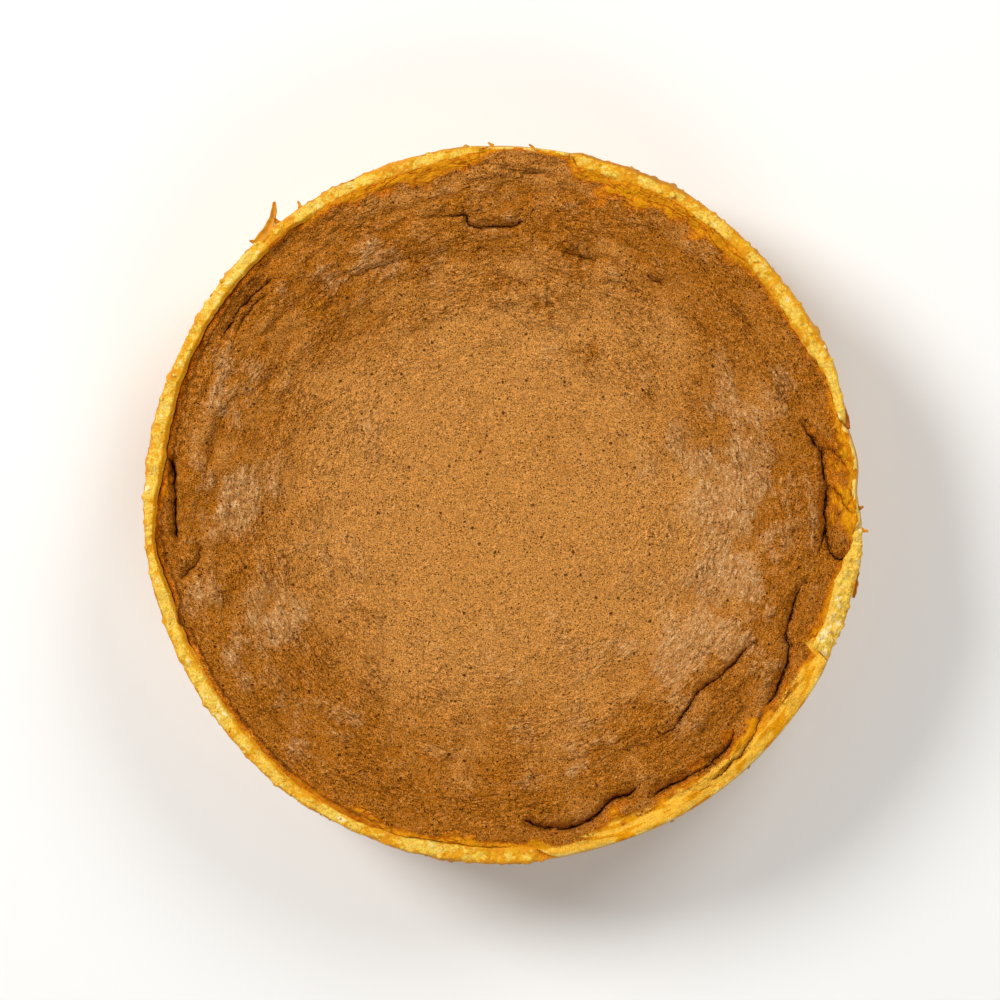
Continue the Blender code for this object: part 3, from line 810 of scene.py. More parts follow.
def curd_masks(sizes, points, degrees, across, lumpy, on_wall):
    """How pale each place of the curd is, and how much the tin has browned it."""
    up = points[:, 2] / sizes.rim_height
    blotch = bumps(points, *CURD_BLOTCHES)
    middle = np.sin(np.clip(across, 0.0, 1.0) * math.pi)
    fresh = -0.42 + 0.95 * middle ** 0.6 + lumpy + 0.9 * blotch
    fresh += 0.75 * within_spans(degrees, FLAKY_SPANS, FLAKY_FADE)
    fresh += 0.2 * within_spans(degrees, FRESHER_SPANS, MASK_FADE)
    fresh -= 0.25 * within_spans(degrees, DRIER_SPANS, MASK_FADE)
    by_skin = smooth_step(0.28, 0.05, across)
    fresh -= 0.5 * within_spans(degrees, BORDER_SPANS, MASK_FADE) * by_skin
    side = smooth_step(1.0, 0.90, up)
    streak = bumps(points * (1.0, 1.0, 0.6), *WALL_STREAKS)
    wall = 0.24 + 0.35 * blotch + 0.45 * streak + 0.40 * smooth_step(0.72, 0.98, up)
    toast = np.where(on_wall, wall, 0.0)
    rim_toast = smooth_step(0.80, 1.0, across) * (0.35 + 1.1 * blotch + 0.5 * streak)
    rim_toast += within_spans(degrees, TOASTED_SPANS, TOASTED_FADE) * smooth_step(0.7, 0.9, across)
    toast = np.maximum(toast * side, np.where(on_wall, toast, rim_toast))
    below = smooth_step(0.985, 0.90, up + 0.03 * streak)
    set_hard = np.where(on_wall, below, 0.35 * smooth_step(0.8, 1.0, across))
    return {"fresh": np.where(on_wall, fresh - 0.25, fresh), "toast": toast, "wall": set_hard}


SIXTH, CORNER = 60.0, 30.0     # degrees between the corners of a six-sided disc, and its first


def hexagon_disc(cuts):
    """A flat disc of even triangles in rings, cut from a six-sided one."""
    deselect_all()
    bpy.ops.mesh.primitive_circle_add(vertices=6, radius=1.0, fill_type="TRIFAN")
    bpy.ops.object.mode_set(mode="EDIT")
    for number in cuts:
        bpy.ops.mesh.select_all(action="SELECT")
        bpy.ops.mesh.subdivide(number_cuts=number, smoothness=0.0)
    bpy.ops.object.mode_set(mode="OBJECT")


def rounded_hexagon(points):
    """Turns the disc's six-sided rings into circles. Returns each point's ring and degrees."""
    reach, degrees = polar(points[:, :2])
    sixth, into = np.divmod((degrees - CORNER) % 360.0, SIXTH)
    near, far = np.sin(np.radians(into)), np.sin(np.radians(SIXTH - into))
    ring = reach * (near + far) / math.sin(math.radians(SIXTH))
    return ring, CORNER + SIXTH * (sixth + near / np.maximum(near + far, TINY))


def turn_down_edge(drops):
    """Extrudes the open edge of the mesh being made once for each drop, and closes it."""
    bpy.ops.object.mode_set(mode="EDIT")
    bpy.ops.mesh.select_mode(type="EDGE")
    bpy.ops.mesh.select_all(action="DESELECT")
    bpy.ops.mesh.select_non_manifold()
    for drop in drops:
        bpy.ops.mesh.extrude_edges_move(TRANSFORM_OT_translate={"value": (0.0, 0.0, -drop)})
    bpy.ops.mesh.select_all(action="SELECT")
    bpy.ops.mesh.fill_holes(sides=0)
    bpy.ops.mesh.select_all(action="SELECT")
    bpy.ops.mesh.normals_make_consistent(inside=False)
    bpy.ops.object.mode_set(mode="OBJECT")


def lay_skin(sizes, points):
    """Moves the disc and its turned-down edge to the skin. Returns points and masks."""
    ring, degrees = rounded_hexagon(points)
    tucked = -points[:, 2]
    share = np.clip(ring, 0.0, 1.0)
    edge = skin_edge_radius(sizes, degrees)
    radius = edge * (share + RING_CROWDING * share * (1.0 - share))
    plan = plan_of(degrees, radius)
    height, relief = skin_surface(sizes, plan)
    tattered = torn(degrees)
    plan = plan_of(degrees, radius - 0.25 * tucked)
    height = np.where(tucked > SKIN_TUCK + MM, SKIN_FLOOR, height - tucked)
    frill = FRILL_HEIGHT * bumps(flat_points(plan), *FRILL)
    height += frill * smooth_step(0.985, 1.0, share) * tattered
    moved = np.column_stack([plan, height])
    return moved, skin_masks(sizes, plan, radius, degrees, edge, relief)


def browned_mask(flat, degrees, share, patch, relief):
    broad = bumps(flat, *BROAD_BROWNING)
    browned = 0.04 + 0.90 * smooth_step(0.30, 0.90, share + 0.05 * broad)
    # Browner in the wrinkles' valleys and paler on their crests: painted shade and painted light
    browned += 0.20 * broad + 0.14 * patch - 0.3 * relief.crumple
    paler = within_spans(degrees, PALER_SPANS, PALER_FADE)
    return browned - 0.4 * paler * smooth_step(0.84, 0.94, share)


# Where the skin is glossier and a paler painted sheen goes, more on the wrinkles' crests
def painted_sheen_and_gloss_mask(flat, share, patch, relief):
    painted_sheen_and_gloss = spots(flat, SHEENS) * (1.05 + 1.2 * patch)
    painted_sheen_and_gloss += 0.04 + 0.18 * patch + 0.22 * relief.crumple - 0.7 * spots(flat, SCUFFS)
    painted_sheen_and_gloss += 0.3 * bumps(flat * FAT_DRAWN, *FAT_STREAKS) + 0.16 * smooth_step(0.62, 0.40, share)
    return painted_sheen_and_gloss * smooth_step(-0.1, 0.55, share) * (1.0 - 0.5 * smooth_step(0.88, 0.93, share))


def golden_mask(flat, degrees, inside, width, relief):
    uneven = 1.0 + 0.75 * bumps(flat, *GOLD_EDGE)
    golden = 1.0 - smooth_step(0.0, 1.45, inside / (width * np.maximum(uneven, 0.3)))
    golden = np.maximum(golden, 0.75 * relief.amber)
    golden += 0.22 * golden * within_spans(degrees, GOLDEST_SPANS, MASK_FADE)
    golden *= 0.55 + 0.45 * smooth_step(1.2 * MM, 4.0 * MM, width)
    golden += spots(flat, POOLS) * uneven
    # Less golden down in the folds' valleys: painted shade
    return golden * (1.0 - 0.75 * relief.valley)


def edge_masks(flat, degrees, inside, streak):
    """The brown border and the dark hem beside torn curd, and the thin flaky edge of the lip."""
    bordered = torn(degrees) * (0.25 + 0.75 * within_spans(degrees, BORDER_SPANS, MASK_FADE))
    stray = inside + 0.7 * MM * bumps(flat, *BORDER_EDGE)
    border = bordered * (1.0 - smooth_step(0.9 * MM, 2.1 * MM, stray))
    marks = np.clip(4.0 * bumps(flat, *SCUFF_MARKS) - 0.5, 0.0, 1.0) * spots(flat, SCUFFS)
    hem = 0.9 * marks + bordered * np.exp(-((stray - 2.1 * MM) / (0.5 * MM)) ** 2)
    flaking = inside - 1.2 * MM * bumps(flat, *FLAKE_EDGE)
    thin = (1.0 - torn(degrees)) * (0.9 + 1.4 * streak)
    thin *= 1.0 - smooth_step(0.1 * MM, 1.2 * MM, flaking)
    return border, hem, thin * (0.7 + 0.3 * within_spans(degrees, BARE_SPANS))


def skin_masks(sizes, plan, radius, degrees, edge, relief):
    """How browned, golden, folded and lip-like each place of the skin is."""
    flat = flat_points(plan)
    share = radius / sizes.tin_radius
    inside = np.maximum(edge - radius, 0.0)
    width = eased(degrees, GOLD_WIDTHS) * MM
    patch = bumps(flat, *PATCHES)
    streak = bumps(np.column_stack([
        plan_of(degrees, sizes.tin_radius / STREAK_LENGTH), radius / STREAK_SPACING,
    ]), *LIP_STREAKS)
    scuffed = spots(flat, SCUFFS) * (0.8 + 1.6 * bumps(flat, *SCUFF_GRAIN))
    golden = golden_mask(flat, degrees, inside, width, relief)
    border, hem, thin = edge_masks(flat, degrees, inside, streak)
    rolled = within_spans(degrees, (LIP_SPAN,)) * (1.0 - smooth_step(0.38, 0.88, inside / width))
    crumpled = smooth_step(0.05, 0.75, share) * (0.60 + 0.9 * patch) + 0.20
    crumpled += 0.5 * relief.amber + 0.12 * golden - 0.85 * rolled + 0.7 * scuffed
    return {
        "browned": browned_mask(flat, degrees, share, patch, relief) + 0.5 * scuffed,
        "painted_sheen_and_gloss": painted_sheen_and_gloss_mask(flat, share, patch, relief), "golden": golden,
        "lip": rolled * (0.86 + 1.7 * streak), "seam": relief.seam, "split": relief.split,
        "border": border, "hem": hem, "thin": thin, "crumpled": crumpled,
    }


# ---- shreds and crumbs -----------------------------------------------------------------------


def model_strip():
    """A flat strip one metre long from the axis out along X, from which each shred is bent."""
    deselect_all()
    bpy.ops.mesh.primitive_grid_add(x_subdivisions=14, y_subdivisions=6, size=1.0)
    bpy.ops.object.mode_set(mode="EDIT")
    bpy.ops.mesh.select_all(action="SELECT")
    bpy.ops.transform.translate(value=(0.5, 0.0, 0.0))
    bpy.ops.object.mode_set(mode="OBJECT")
    return named("shred_pattern")


def bend_shred(sizes, shred, strip, number):
    """The strip's points, narrowed to a torn tip, swept round and held at the rim."""
    along, side = strip[:, 0], strip[:, 1]
    beside = np.column_stack([4.0 * along, 3.0 * np.sign(side)])
    edges = bumps(flat_points(beside), 1.0, 2, 7.0 * number)
    slender = 0.65 * smooth_step(6.0, 12.0, shred.length)
    taper = (1.0 - 0.85 * along ** 1.4) * (1.0 - slender * (1.0 - smooth_step(-0.05, 0.4, along)))
    width = side * shred.width * taper * (1.0 + 0.6 * edges)
    turn = np.radians(shred.sweep) * along
    bend = math.radians(shred.sweep) or TINY
    reach = shred.length * np.sin(turn) / bend - width * np.sin(turn)
    across = shred.length * (1.0 - np.cos(turn)) / bend + width * np.cos(turn)
    rough = bumps(flat_points(np.column_stack([reach, across])), 0.9, 2, 7.0 * number)
    climb = shred.length * math.sin(math.radians(shred.lift)) * along ** 1.5
    climb = climb + 0.5 * shred.width * side ** 2 + 0.2 * rough
    heading = Matrix.Rotation(math.radians(shred.degrees + shred.heading), 3, "Z")
    points = np.column_stack([reach, across, climb]) * MM @ np.array(heading).T
    held = plan_of(shred.degrees, shred.radius * MM)
    return points + (held[0], held[1], sizes.rim_height + shred.height * MM)


def model_crumb():
    deselect_all()
    bpy.ops.mesh.primitive_ico_sphere_add(subdivisions=2, radius=0.5)
    return named("crumb_pattern")


def copied(pattern, name, points):
    """A copy of a pattern piece with its own mesh, its points moved."""
    piece = pattern.copy()
    piece.data = pattern.data.copy()
    piece.name = piece.data.name = name
    bpy.context.collection.objects.link(piece)
    move_points(piece.data, points)
    return piece


def joined(pieces, name):
    """Joins pieces into one, named, with its place in its mesh."""
    deselect_all()
    for piece in pieces:
        piece.select_set(True)
    bpy.context.view_layer.objects.active = pieces[0]
    bpy.ops.object.join()
    return named(name)


def thicken(piece, thickness):
    deselect_all()
    piece.select_set(True)
    bpy.context.view_layer.objects.active = piece
    modifier = piece.modifiers.new("Solidify", "SOLIDIFY")
    modifier.thickness, modifier.offset = thickness, 0.0
    bpy.ops.object.modifier_apply(modifier=modifier.name)


def remove_pattern(piece):
    bpy.data.meshes.remove(piece.data)


# ---- materials -------------------------------------------------------------------------------

MIX_SHARE, MIX_A, MIX_B, MIX_RESULT = 0, 6, 7, 2    # a Mix node's sockets when it mixes colours

# For rows of like nodes: their kind, the settings that a row gives after its name, their result
MASKS = ("ShaderNodeAttribute", ("attribute_name",), "Fac")
NOISES = ("ShaderNodeTexNoise", ("Scale", "Detail", "Roughness"), "Fac")
RANGES = ("ShaderNodeMapRange", ("Value", "From Min", "From Max", "To Min", "To Max"), "Result")
SOFT_ENDS = {"interpolation_type": "SMOOTHSTEP"}

SKIN_MASKS = ("browned", "painted_sheen_and_gloss", "golden", "lip", "seam", "split", "border", "hem", "thin",
              "crumpled")
CURD_MASKS = ("fresh", "toast", "wall")
CRACK_SHARE = 0.085     # half a crack's width, 0.34 mm, in the range of the seam mask


def set_up(tree, node, settings):
    """Sets a node. A lower-case setting is its own property, any other a socket to set or link."""
    for name, value in settings.items():
        if isinstance(name, str) and name.islower():
            setattr(node, name, value)
        elif isinstance(value, bpy.types.NodeSocket):
            tree.links.new(value, node.inputs[name])
        else:
            node.inputs[name].default_value = value
    return node


def add_node(tree, kind, settings):
    return set_up(tree, tree.nodes.new(kind), settings)


def add_rows(tree, sort, rows, shared):
    """Adds a like node for each row of a name and its settings. Returns their results by name."""
    kind, settings, result = sort
    return {
        name: add_node(tree, kind, {**shared, **dict(zip(settings, values))}).outputs[result]
        for name, *values in rows
    }


def layered(tree, colour, layers):
    """A colour with others laid over it, each as thick as its share says."""
    for share, over in layers:
        colour = add_node(tree, "ShaderNodeMix", {
            "data_type": "RGBA", MIX_SHARE: share, MIX_A: colour, MIX_B: over,
        }).outputs[MIX_RESULT]
    return colour


def combined(tree, terms, start=0.0):
    """The sum of values, each times a weight. A weight may be a value of the pattern too."""
    total = start
    for value, weight in terms:
        total = add_node(tree, "ShaderNodeMath", {
            "operation": "MULTIPLY_ADD", 0: value, 1: weight, 2: total,
        }).outputs[0]
    return total


def greatest(tree, values):
    """The greatest of some values at each place, and at least 0."""
    most = 0.0
    for value in values:
        most = add_node(tree, "ShaderNodeMath", {
            "operation": "MAXIMUM", 0: value, 1: most,
        }).outputs[0]
    return most


def from_line(tree, noise):
    """How far a noise is from its middle value, which it has along wandering lines."""
    return add_node(tree, "ShaderNodeMath", {
        "operation": "ABSOLUTE", 0: combined(tree, ((noise, 1.0),), -0.5),
    }).outputs[0]


def bent_places(tree, place, size, shift):
    """Places moved by a noise, which bends a pattern out of its straight lines."""
    drift = add_node(tree, "ShaderNodeTexNoise", {"Vector": place, "Scale": 1.0 / size})
    centred = add_node(tree, "ShaderNodeVectorMath", {
        "operation": "SUBTRACT", 0: drift.outputs["Color"], 1: (0.5, 0.5, 0.5),
    })
    return add_node(tree, "ShaderNodeVectorMath", {
        "operation": "MULTIPLY_ADD", 0: centred.outputs[0], 1: (shift,) * 3, 2: place,
    }).outputs[0]


def drawn_in(tree, place, round_share, out_share):
    """Places in which a pattern comes out drawn round the cake, or out from its axis."""
    flat = add_node(tree, "ShaderNodeVectorMath", {
        "operation": "MULTIPLY", 0: place, 1: (1.0, 1.0, 0.0),
    }).outputs["Vector"]
    radius = add_node(tree, "ShaderNodeVectorMath", {"operation": "LENGTH", 0: flat})
    height = add_node(tree, "ShaderNodeSeparateXYZ", {"Vector": place}).outputs["Z"]
    upright = combined(tree, ((radius.outputs["Value"], out_share), (height, 1.0)))
    return add_node(tree, "ShaderNodeVectorMath", {
        "operation": "MULTIPLY_ADD", 0: flat, 1: (round_share, round_share, 0.0),
        2: add_node(tree, "ShaderNodeCombineXYZ", {"Z": upright}).outputs[0],
    }).outputs["Vector"]


def blank_material(name, mask_names=()):
    """A new material, its tree and shader, the place on the piece, and the piece's masks."""
    material = bpy.data.materials.new(name)
    material.use_nodes = True
    tree = material.node_tree
    place = add_node(tree, "ShaderNodeTexCoord", {}).outputs["Object"]
    masks = add_rows(tree, MASKS, [(mask, mask) for mask in mask_names], {})
    return material, tree, tree.nodes["Principled BSDF"], place, masks


def burst_bubbles(tree, sizes, place, unevenness):
    """How deep in a burst bubble each place is, and a painted glint in the fine unburst ones."""
    bursts = []
    for spacing, width, rarest in (
        (sizes.pore_spacing, sizes.pore, 0.45),
        (0.55 * sizes.pore_spacing, 0.55 * sizes.pore, 0.10),
        (0.32 * sizes.pore_spacing, 0.42 * sizes.pore, 0.40),
    ):
        cells = add_node(tree, "ShaderNodeTexVoronoi", {"Vector": place, "Scale": 1.0 / spacing})
        which = add_node(tree, "ShaderNodeSeparateColor", {"Color": cells.outputs["Color"]})
        wide = 0.5 * width / spacing
        reach = combined(tree, (
            (cells.outputs["Distance"], 1.0), (unevenness, 0.16),
            (which.outputs["Green"], -1.2 * wide),
        ), -0.08)
        bubble = add_rows(tree, RANGES, (
            ("round", reach, 0.0, wide, 1.0, 0.0),
            ("burst", which.outputs["Red"], rarest, rarest + 0.4, 0.0, 1.0),
        ), SOFT_ENDS)
        bursts.append(combined(tree, ((bubble["round"], bubble["burst"]),)))
    whole = combined(tree, ((bubble["round"], 1.0), (bursts[-1], -1.0)))
    return greatest(tree, bursts), whole


def skin_noises(tree, sizes, place):
    noises = add_rows(tree, NOISES, (
        ("sand", 1.0 / (0.66 * sizes.grain), 1.0, 0.5),
        ("grain", 1.0 / (1.1 * sizes.grain), 1.0, 0.5),
        ("pimple", 1.0 / (1.5 * MM), 2.0, 0.5),
        ("patch", 1.0 / (21.0 * MM), 3.0, 0.55),
    ), {"Vector": place})
    noises.update(add_rows(tree, NOISES, (
        ("fold", 1.0 / (3.4 * MM), 2.0, 0.5),
        ("wisp", 1.0 / (0.8 * MM), 1.0, 0.5),
        ("pinch", 1.0 / (1.5 * MM), 1.0, 0.5),
        ("mottle", 1.0 / (4.8 * MM), 3.0, 0.58),
    ), {"Vector": drawn_in(tree, place, DRAWN_OUT, 1.0)}))
    return noises


def skin_shares(tree, masks, noises, lines):
    """How far each finish of the skin shows at each place."""
    from_seam = from_line(tree, combined(tree, (
        (noises["pimple"], 0.42), (noises["grain"], 0.22), (masks["seam"], 1.0),
    ), -0.32))
    from_crack = combined(tree, (
        (from_seam, 1.0), (masks["split"], -CRACK_SHARE),
    ), CRACK_SHARE)
    return add_rows(tree, RANGES, (
        ("stretched", masks["golden"], 0.35, 0.8, 1.0, 0.0),
        ("browned", combined(tree, (
            (noises["mottle"], 0.6), (noises["patch"], 0.5), (masks["browned"], 1.0),
        ), -0.55), 0.0, 1.0, 0.0, 1.0),
        ("painted_sheen_and_gloss", combined(tree, (
            (noises["mottle"], 1.0), (noises["pimple"], 0.5), (masks["painted_sheen_and_gloss"], 1.0),
        ), -0.75), 0.20, 0.82, 0.0, 1.0),
        ("facet", combined(tree, (
            (lines["fold"], 1.0), (noises["pinch"], 0.4), (noises["wisp"], 0.3),
        ), -0.35), 0.0, 0.25, 0.40, 1.0),
        ("amber", combined(tree, (
            (noises["mottle"], 0.8), (masks["golden"], 1.5),
        ), -0.62), 0.06, 0.60, 0.0, 0.92),
        ("golden", combined(tree, (
            (noises["mottle"], 0.9), (noises["pimple"], 0.5), (masks["golden"], 1.0),
        ), -0.70), 0.45, 1.0, 0.0, 1.0),
        ("lip", combined(tree, (
            (noises["mottle"], 0.6), (noises["pimple"], 0.5), (masks["lip"], 1.0),
        ), -0.55), 0.22, 0.90, 0.0, 0.85),
        ("thin", combined(tree, (
            (noises["pimple"], 0.9), (masks["thin"], 1.0),
        ), -0.45), 0.25, 0.65, 0.0, 0.9),
        ("crack", from_crack, 0.0, CRACK_SHARE, 1.0, 0.0),
        ("painted_crack_shade", from_crack, 0.0, 0.42, 0.85, 0.0),
        ("wide", masks["split"], 0.45, 1.1, 0.0, 1.0),
        ("fold", lines["fold"], 0.004, 0.040, 1.0, 0.0),
        ("pinch", lines["pinch"], 0.0, 0.05, 0.30, 0.0),
        ("broken", noises["mottle"], 0.50, 0.62, 0.0, 1.0),
        ("crumpled", masks["crumpled"], 0.2, 1.0, 0.15, 1.0),
        ("opened", masks["golden"], 0.25, 0.8, 0.10, 0.90),
        ("sand", noises["sand"], 0.30, 0.70, 0.0, 1.0),
        ("grain", noises["grain"], 0.34, 0.66, 0.0, 1.0),
        ("pimple", noises["pimple"], 0.32, 0.68, 0.0, 1.0),
        ("wisp", noises["wisp"], 0.32, 0.68, 0.0, 1.0),
        ("glint", combined(tree, (
            (noises["wisp"], 0.45), (noises["sand"], 0.55),
        )), 0.575, 0.66, 0.0, 1.0),
    ), SOFT_ENDS)


# Baked milk protein: a thin matt skin with a film of butterfat, sandy and full of burst bubbles.
# To the eye it is a warm brown that pales where it stretched, with a soft satin sheen that is
# partly real gloss and partly a painted sheen with painted glints.
def browned_skin_material(sizes, colours):
    material, tree, shader, place, masks = blank_material("browned_milk_skin", SKIN_MASKS)
    noises = skin_noises(tree, sizes, place)
    lines = {name: from_line(tree, noises[name]) for name in ("fold", "pinch")}
    shares = skin_shares(tree, masks, noises, lines)
    burst, whole = burst_bubbles(tree, sizes, place, noises["grain"])
    pore = combined(tree, ((burst, shares["stretched"]),))
    sheen = combined(tree, ((shares["painted_sheen_and_gloss"], shares["facet"]),))
    crease = greatest(tree, (shares["fold"], shares["pinch"]))
    crease = combined(tree, ((crease, shares["crumpled"]),))
    wrinkle = combined(tree, ((shares["fold"], shares["broken"]),))
    wrinkle = combined(tree, ((wrinkle, shares["crumpled"]),))
    # The skin's own tan, brown and gold, with a paler painted sheen, painted shade in the golden
    # skin's creases and painted shade beside the wide cracks
    colour = layered(tree, colours.tan, (
        (shares["browned"], colours.brown),
        (combined(tree, ((sheen, 0.9),)), colours.sheen),
        (shares["amber"], colours.amber),
        (shares["golden"], colours.gold),
        (shares["lip"], colours.lip),
        (combined(tree, ((masks["border"], 0.85),)), colours.amber),
        (combined(tree, ((crease, shares["opened"]),)), colours.painted_crease_shade),
        (combined(tree, ((shares["painted_crack_shade"], shares["wide"]),)), colours.painted_crack_shade),
        (shares["thin"], colours.flake),
    ))
    # The sandy grain is strongest where the skin is neither stretched thin nor under painted sheen
    rumpled = combined(tree, ((shares["stretched"], shares["crumpled"]),))
    grit = greatest(tree, (0.2, combined(tree, (
        (rumpled, 0.16), (shares["stretched"], 0.57), (shares["painted_sheen_and_gloss"], -0.45),
    ), 0.38)))
    wisp = combined(tree, ((shares["wisp"], 0.40),), -0.20)
    shade = combined(tree, (
        (shares["sand"], 0.92), (wisp, shares["crumpled"]), (shares["grain"], 0.46),
        (shares["pimple"], 0.14),
    ), -0.76)
    shade = greatest(tree, (0.25, combined(tree, ((shade, grit),), 1.0)))
    toned = add_node(tree, "ShaderNodeMix", {
        "data_type": "RGBA", "blend_type": "MULTIPLY", MIX_SHARE: 1.0, MIX_A: colour, MIX_B: shade,
    }).outputs[MIX_RESULT]
    # Pale flecks on grains and fine cells, most in the sheen: painted glints
    catching = combined(tree, ((sheen, 0.55),), 0.24)
    lit = combined(tree, ((greatest(tree, (shares["glint"], whole)), catching),))
    # Painted shade in the wrinkle lines, pores and cracks, with the dark hem line and scuff marks
    shadowed = combined(tree, ((wrinkle, shares["stretched"]),))
    toned = layered(tree, toned, (
        (combined(tree, ((lit, shares["stretched"]),)), colours.glint),
        (combined(tree, ((shadowed, 0.40),)), colours.crack),
        (combined(tree, ((masks["hem"], 0.66),)), colours.crack),
        (combined(tree, ((pore, 0.85),)), colours.crack),
        (shares["crack"], colours.crack),
    ))
    sandy = combined(tree, (
        (noises["sand"], 0.30), (noises["grain"], 0.45), (noises["pimple"], 0.6),
    ))
    wrinkled = combined(tree, (
        (lines["fold"], 3.4), (lines["pinch"], 1.0), (noises["mottle"], 2.2),
        (noises["pimple"], 1.2),
    ))
    relief = combined(tree, (
        (sandy, grit), (pore, -0.8), (noises["mottle"], 0.8), (shares["crack"], -1.0),
        (wrinkle, -0.5), (wrinkled, shares["crumpled"]),
    ))
    bump = add_node(tree, "ShaderNodeBump", {
        "Strength": 1.0, "Distance": 0.55 * MM, "Height": relief,
    })
    set_up(tree, shader, {
        "Base Color": toned,
        "Roughness": combined(tree, ((shares["grain"], 0.22), (shares["painted_sheen_and_gloss"], -0.14)), 0.40),
        "Specular IOR Level": combined(tree, ((sheen, 0.40), (masks["golden"], 0.06)), 0.025),
        "Normal": bump.outputs["Normal"],
        "IOR": 1.45,
    })
    return material


# Set curd: moist, torn into fine lumps that scatter light, cream on the lumps and gold between
# them, with a thin toasted film where it met the hot tin.
def curd_material(colours):
    material, tree, shader, place, masks = blank_material("baked_cheese_curd", CURD_MASKS)
    noises = add_rows(tree, NOISES, (
        ("grain", 1.0 / (0.8 * MM), 4.0, 0.65),
        ("worm", 1.0 / (1.7 * MM), 1.0, 0.5),
        ("mottle", 1.0 / (3.2 * MM), 4.0, 0.62),
        ("blotch", 1.0 / (9.0 * MM), 4.0, 0.62),
    ), {"Vector": place})
    noises.update(add_rows(tree, NOISES, (
        ("fibre", 1.0 / (1.7 * MM), 2.0, 0.55),
    ), {"Vector": drawn_in(tree, place, 1.0, -0.6)}))
    noises.update(add_rows(tree, NOISES, (
        ("streak", 1.0 / (2.6 * MM), 3.0, 0.6),
    ), {"Vector": drawn_in(tree, place, DRAWN_OUT, 1.0)}))
    bent = bent_places(tree, place, 1.6 * MM, 1.5 * MM)
    lumps = add_node(tree, "ShaderNodeTexVoronoi", {"Vector": bent, "Scale": 1.0 / (2.1 * MM)})
    which = add_node(tree, "ShaderNodeSeparateColor", {"Color": lumps.outputs["Color"]})
    pits = add_node(tree, "ShaderNodeTexVoronoi", {"Vector": place, "Scale": 1.0 / (4.2 * MM)})
    chance = add_node(tree, "ShaderNodeSeparateColor", {"Color": pits.outputs["Color"]})
    edges = add_node(tree, "ShaderNodeTexVoronoi", {
        "feature": "DISTANCE_TO_EDGE", "Vector": bent, "Scale": 1.0 / (2.3 * MM),
    })
    from_fibre, from_worm = from_line(tree, noises["fibre"]), from_line(tree, noises["worm"])
    shares = add_rows(tree, RANGES, (
        ("fresh", combined(tree, (
            (noises["streak"], 0.7), (noises["grain"], 0.9), (noises["fibre"], 0.6),
            (which.outputs["Red"], 0.60), (masks["fresh"], 0.8),
        ), -1.50), 0.08, 0.42, 0.0, 1.0),
        ("hollow", combined(tree, (
            (noises["mottle"], 0.7), (noises["grain"], 0.8), (which.outputs["Green"], 0.3),
            (masks["fresh"], 0.8),
        ), -0.78), 0.02, 0.42, 0.75, 0.0),
        ("seam", from_fibre, 0.0, 0.05, 0.36, 0.0),
        ("worm", combined(tree, (
            (from_worm, 1.0), (noises["mottle"], 0.12),
        ), -0.06), 0.01, 0.05, 0.62, 0.0),
        ("chalky", combined(tree, (
            (which.outputs["Blue"], 0.7), (noises["grain"], 0.9), (masks["fresh"], 0.8),
        ), -1.75), 0.0, 0.22, 0.0, 0.85),
        ("toast", combined(tree, (
            (noises["blotch"], 0.7), (noises["mottle"], 0.6), (masks["toast"], 0.9),
        ), -0.66), 0.15, 0.95, 0.0, 0.85),
        ("pit", combined(tree, (
            (pits.outputs["Distance"], 1.0), (noises["grain"], 0.10),
        ), -0.05), 0.03, 0.13, 1.0, 0.0),
        ("rare", chance.outputs["Red"], 0.5, 0.7, 0.0, 1.0),
        ("crevice", combined(tree, (
            (edges.outputs["Distance"], 1.0), (noises["grain"], 0.5), (noises["mottle"], 0.5),
        ), -0.42), 0.0, 0.14, 1.0, 0.0),
        ("flaky", masks["fresh"], 0.95, 1.5, 0.0, 0.9),
    ), SOFT_ENDS)
    # Darker in the crevices between flakes and in the pits: painted shade
    crevice = combined(tree, ((shares["crevice"], shares["flaky"]),))
    crevice = combined(tree, ((crevice, combined(tree, ((masks["wall"], -1.0),), 1.0)),))
    pit = combined(tree, ((shares["pit"], shares["rare"]),))
    pit = combined(tree, ((pit, greatest(tree, (masks["wall"], shares["flaky"]))),))
    colour = layered(tree, colours.curd, (
        (shares["hollow"], colours.hollow),
        (shares["fresh"], colours.cream),
        (shares["worm"], colours.hollow),
        (shares["seam"], colours.hollow),
        (shares["chalky"], colours.chalk),
        (crevice, colours.hollow),
        (masks["wall"], colours.wall),
        (shares["toast"], colours.toast),
        (combined(tree, ((pit, 0.6),)), colours.shred),
    ))
    relief = combined(tree, (
        (noises["grain"], 0.6), (noises["mottle"], 0.6), (from_fibre, 1.6), (from_worm, 1.6),
        (which.outputs["Blue"], 0.2), (crevice, -0.8), (pit, -0.7),
    ))
    bump = add_node(tree, "ShaderNodeBump", {
        "Strength": 0.8, "Distance": 0.4 * MM, "Height": relief,
    })
    set_up(tree, shader, {
        "Base Color": colour,
        "Roughness": combined(tree, ((noises["grain"], 0.25),), 0.42),
        "Normal": bump.outputs["Normal"],
        "IOR": 1.42,
        "Specular IOR Level": 0.22,
        "Subsurface Weight": 0.2,
        "Subsurface Radius": (1.0, 0.55, 0.22),
        "Subsurface Scale": 1.0 * MM,
    })
    return material


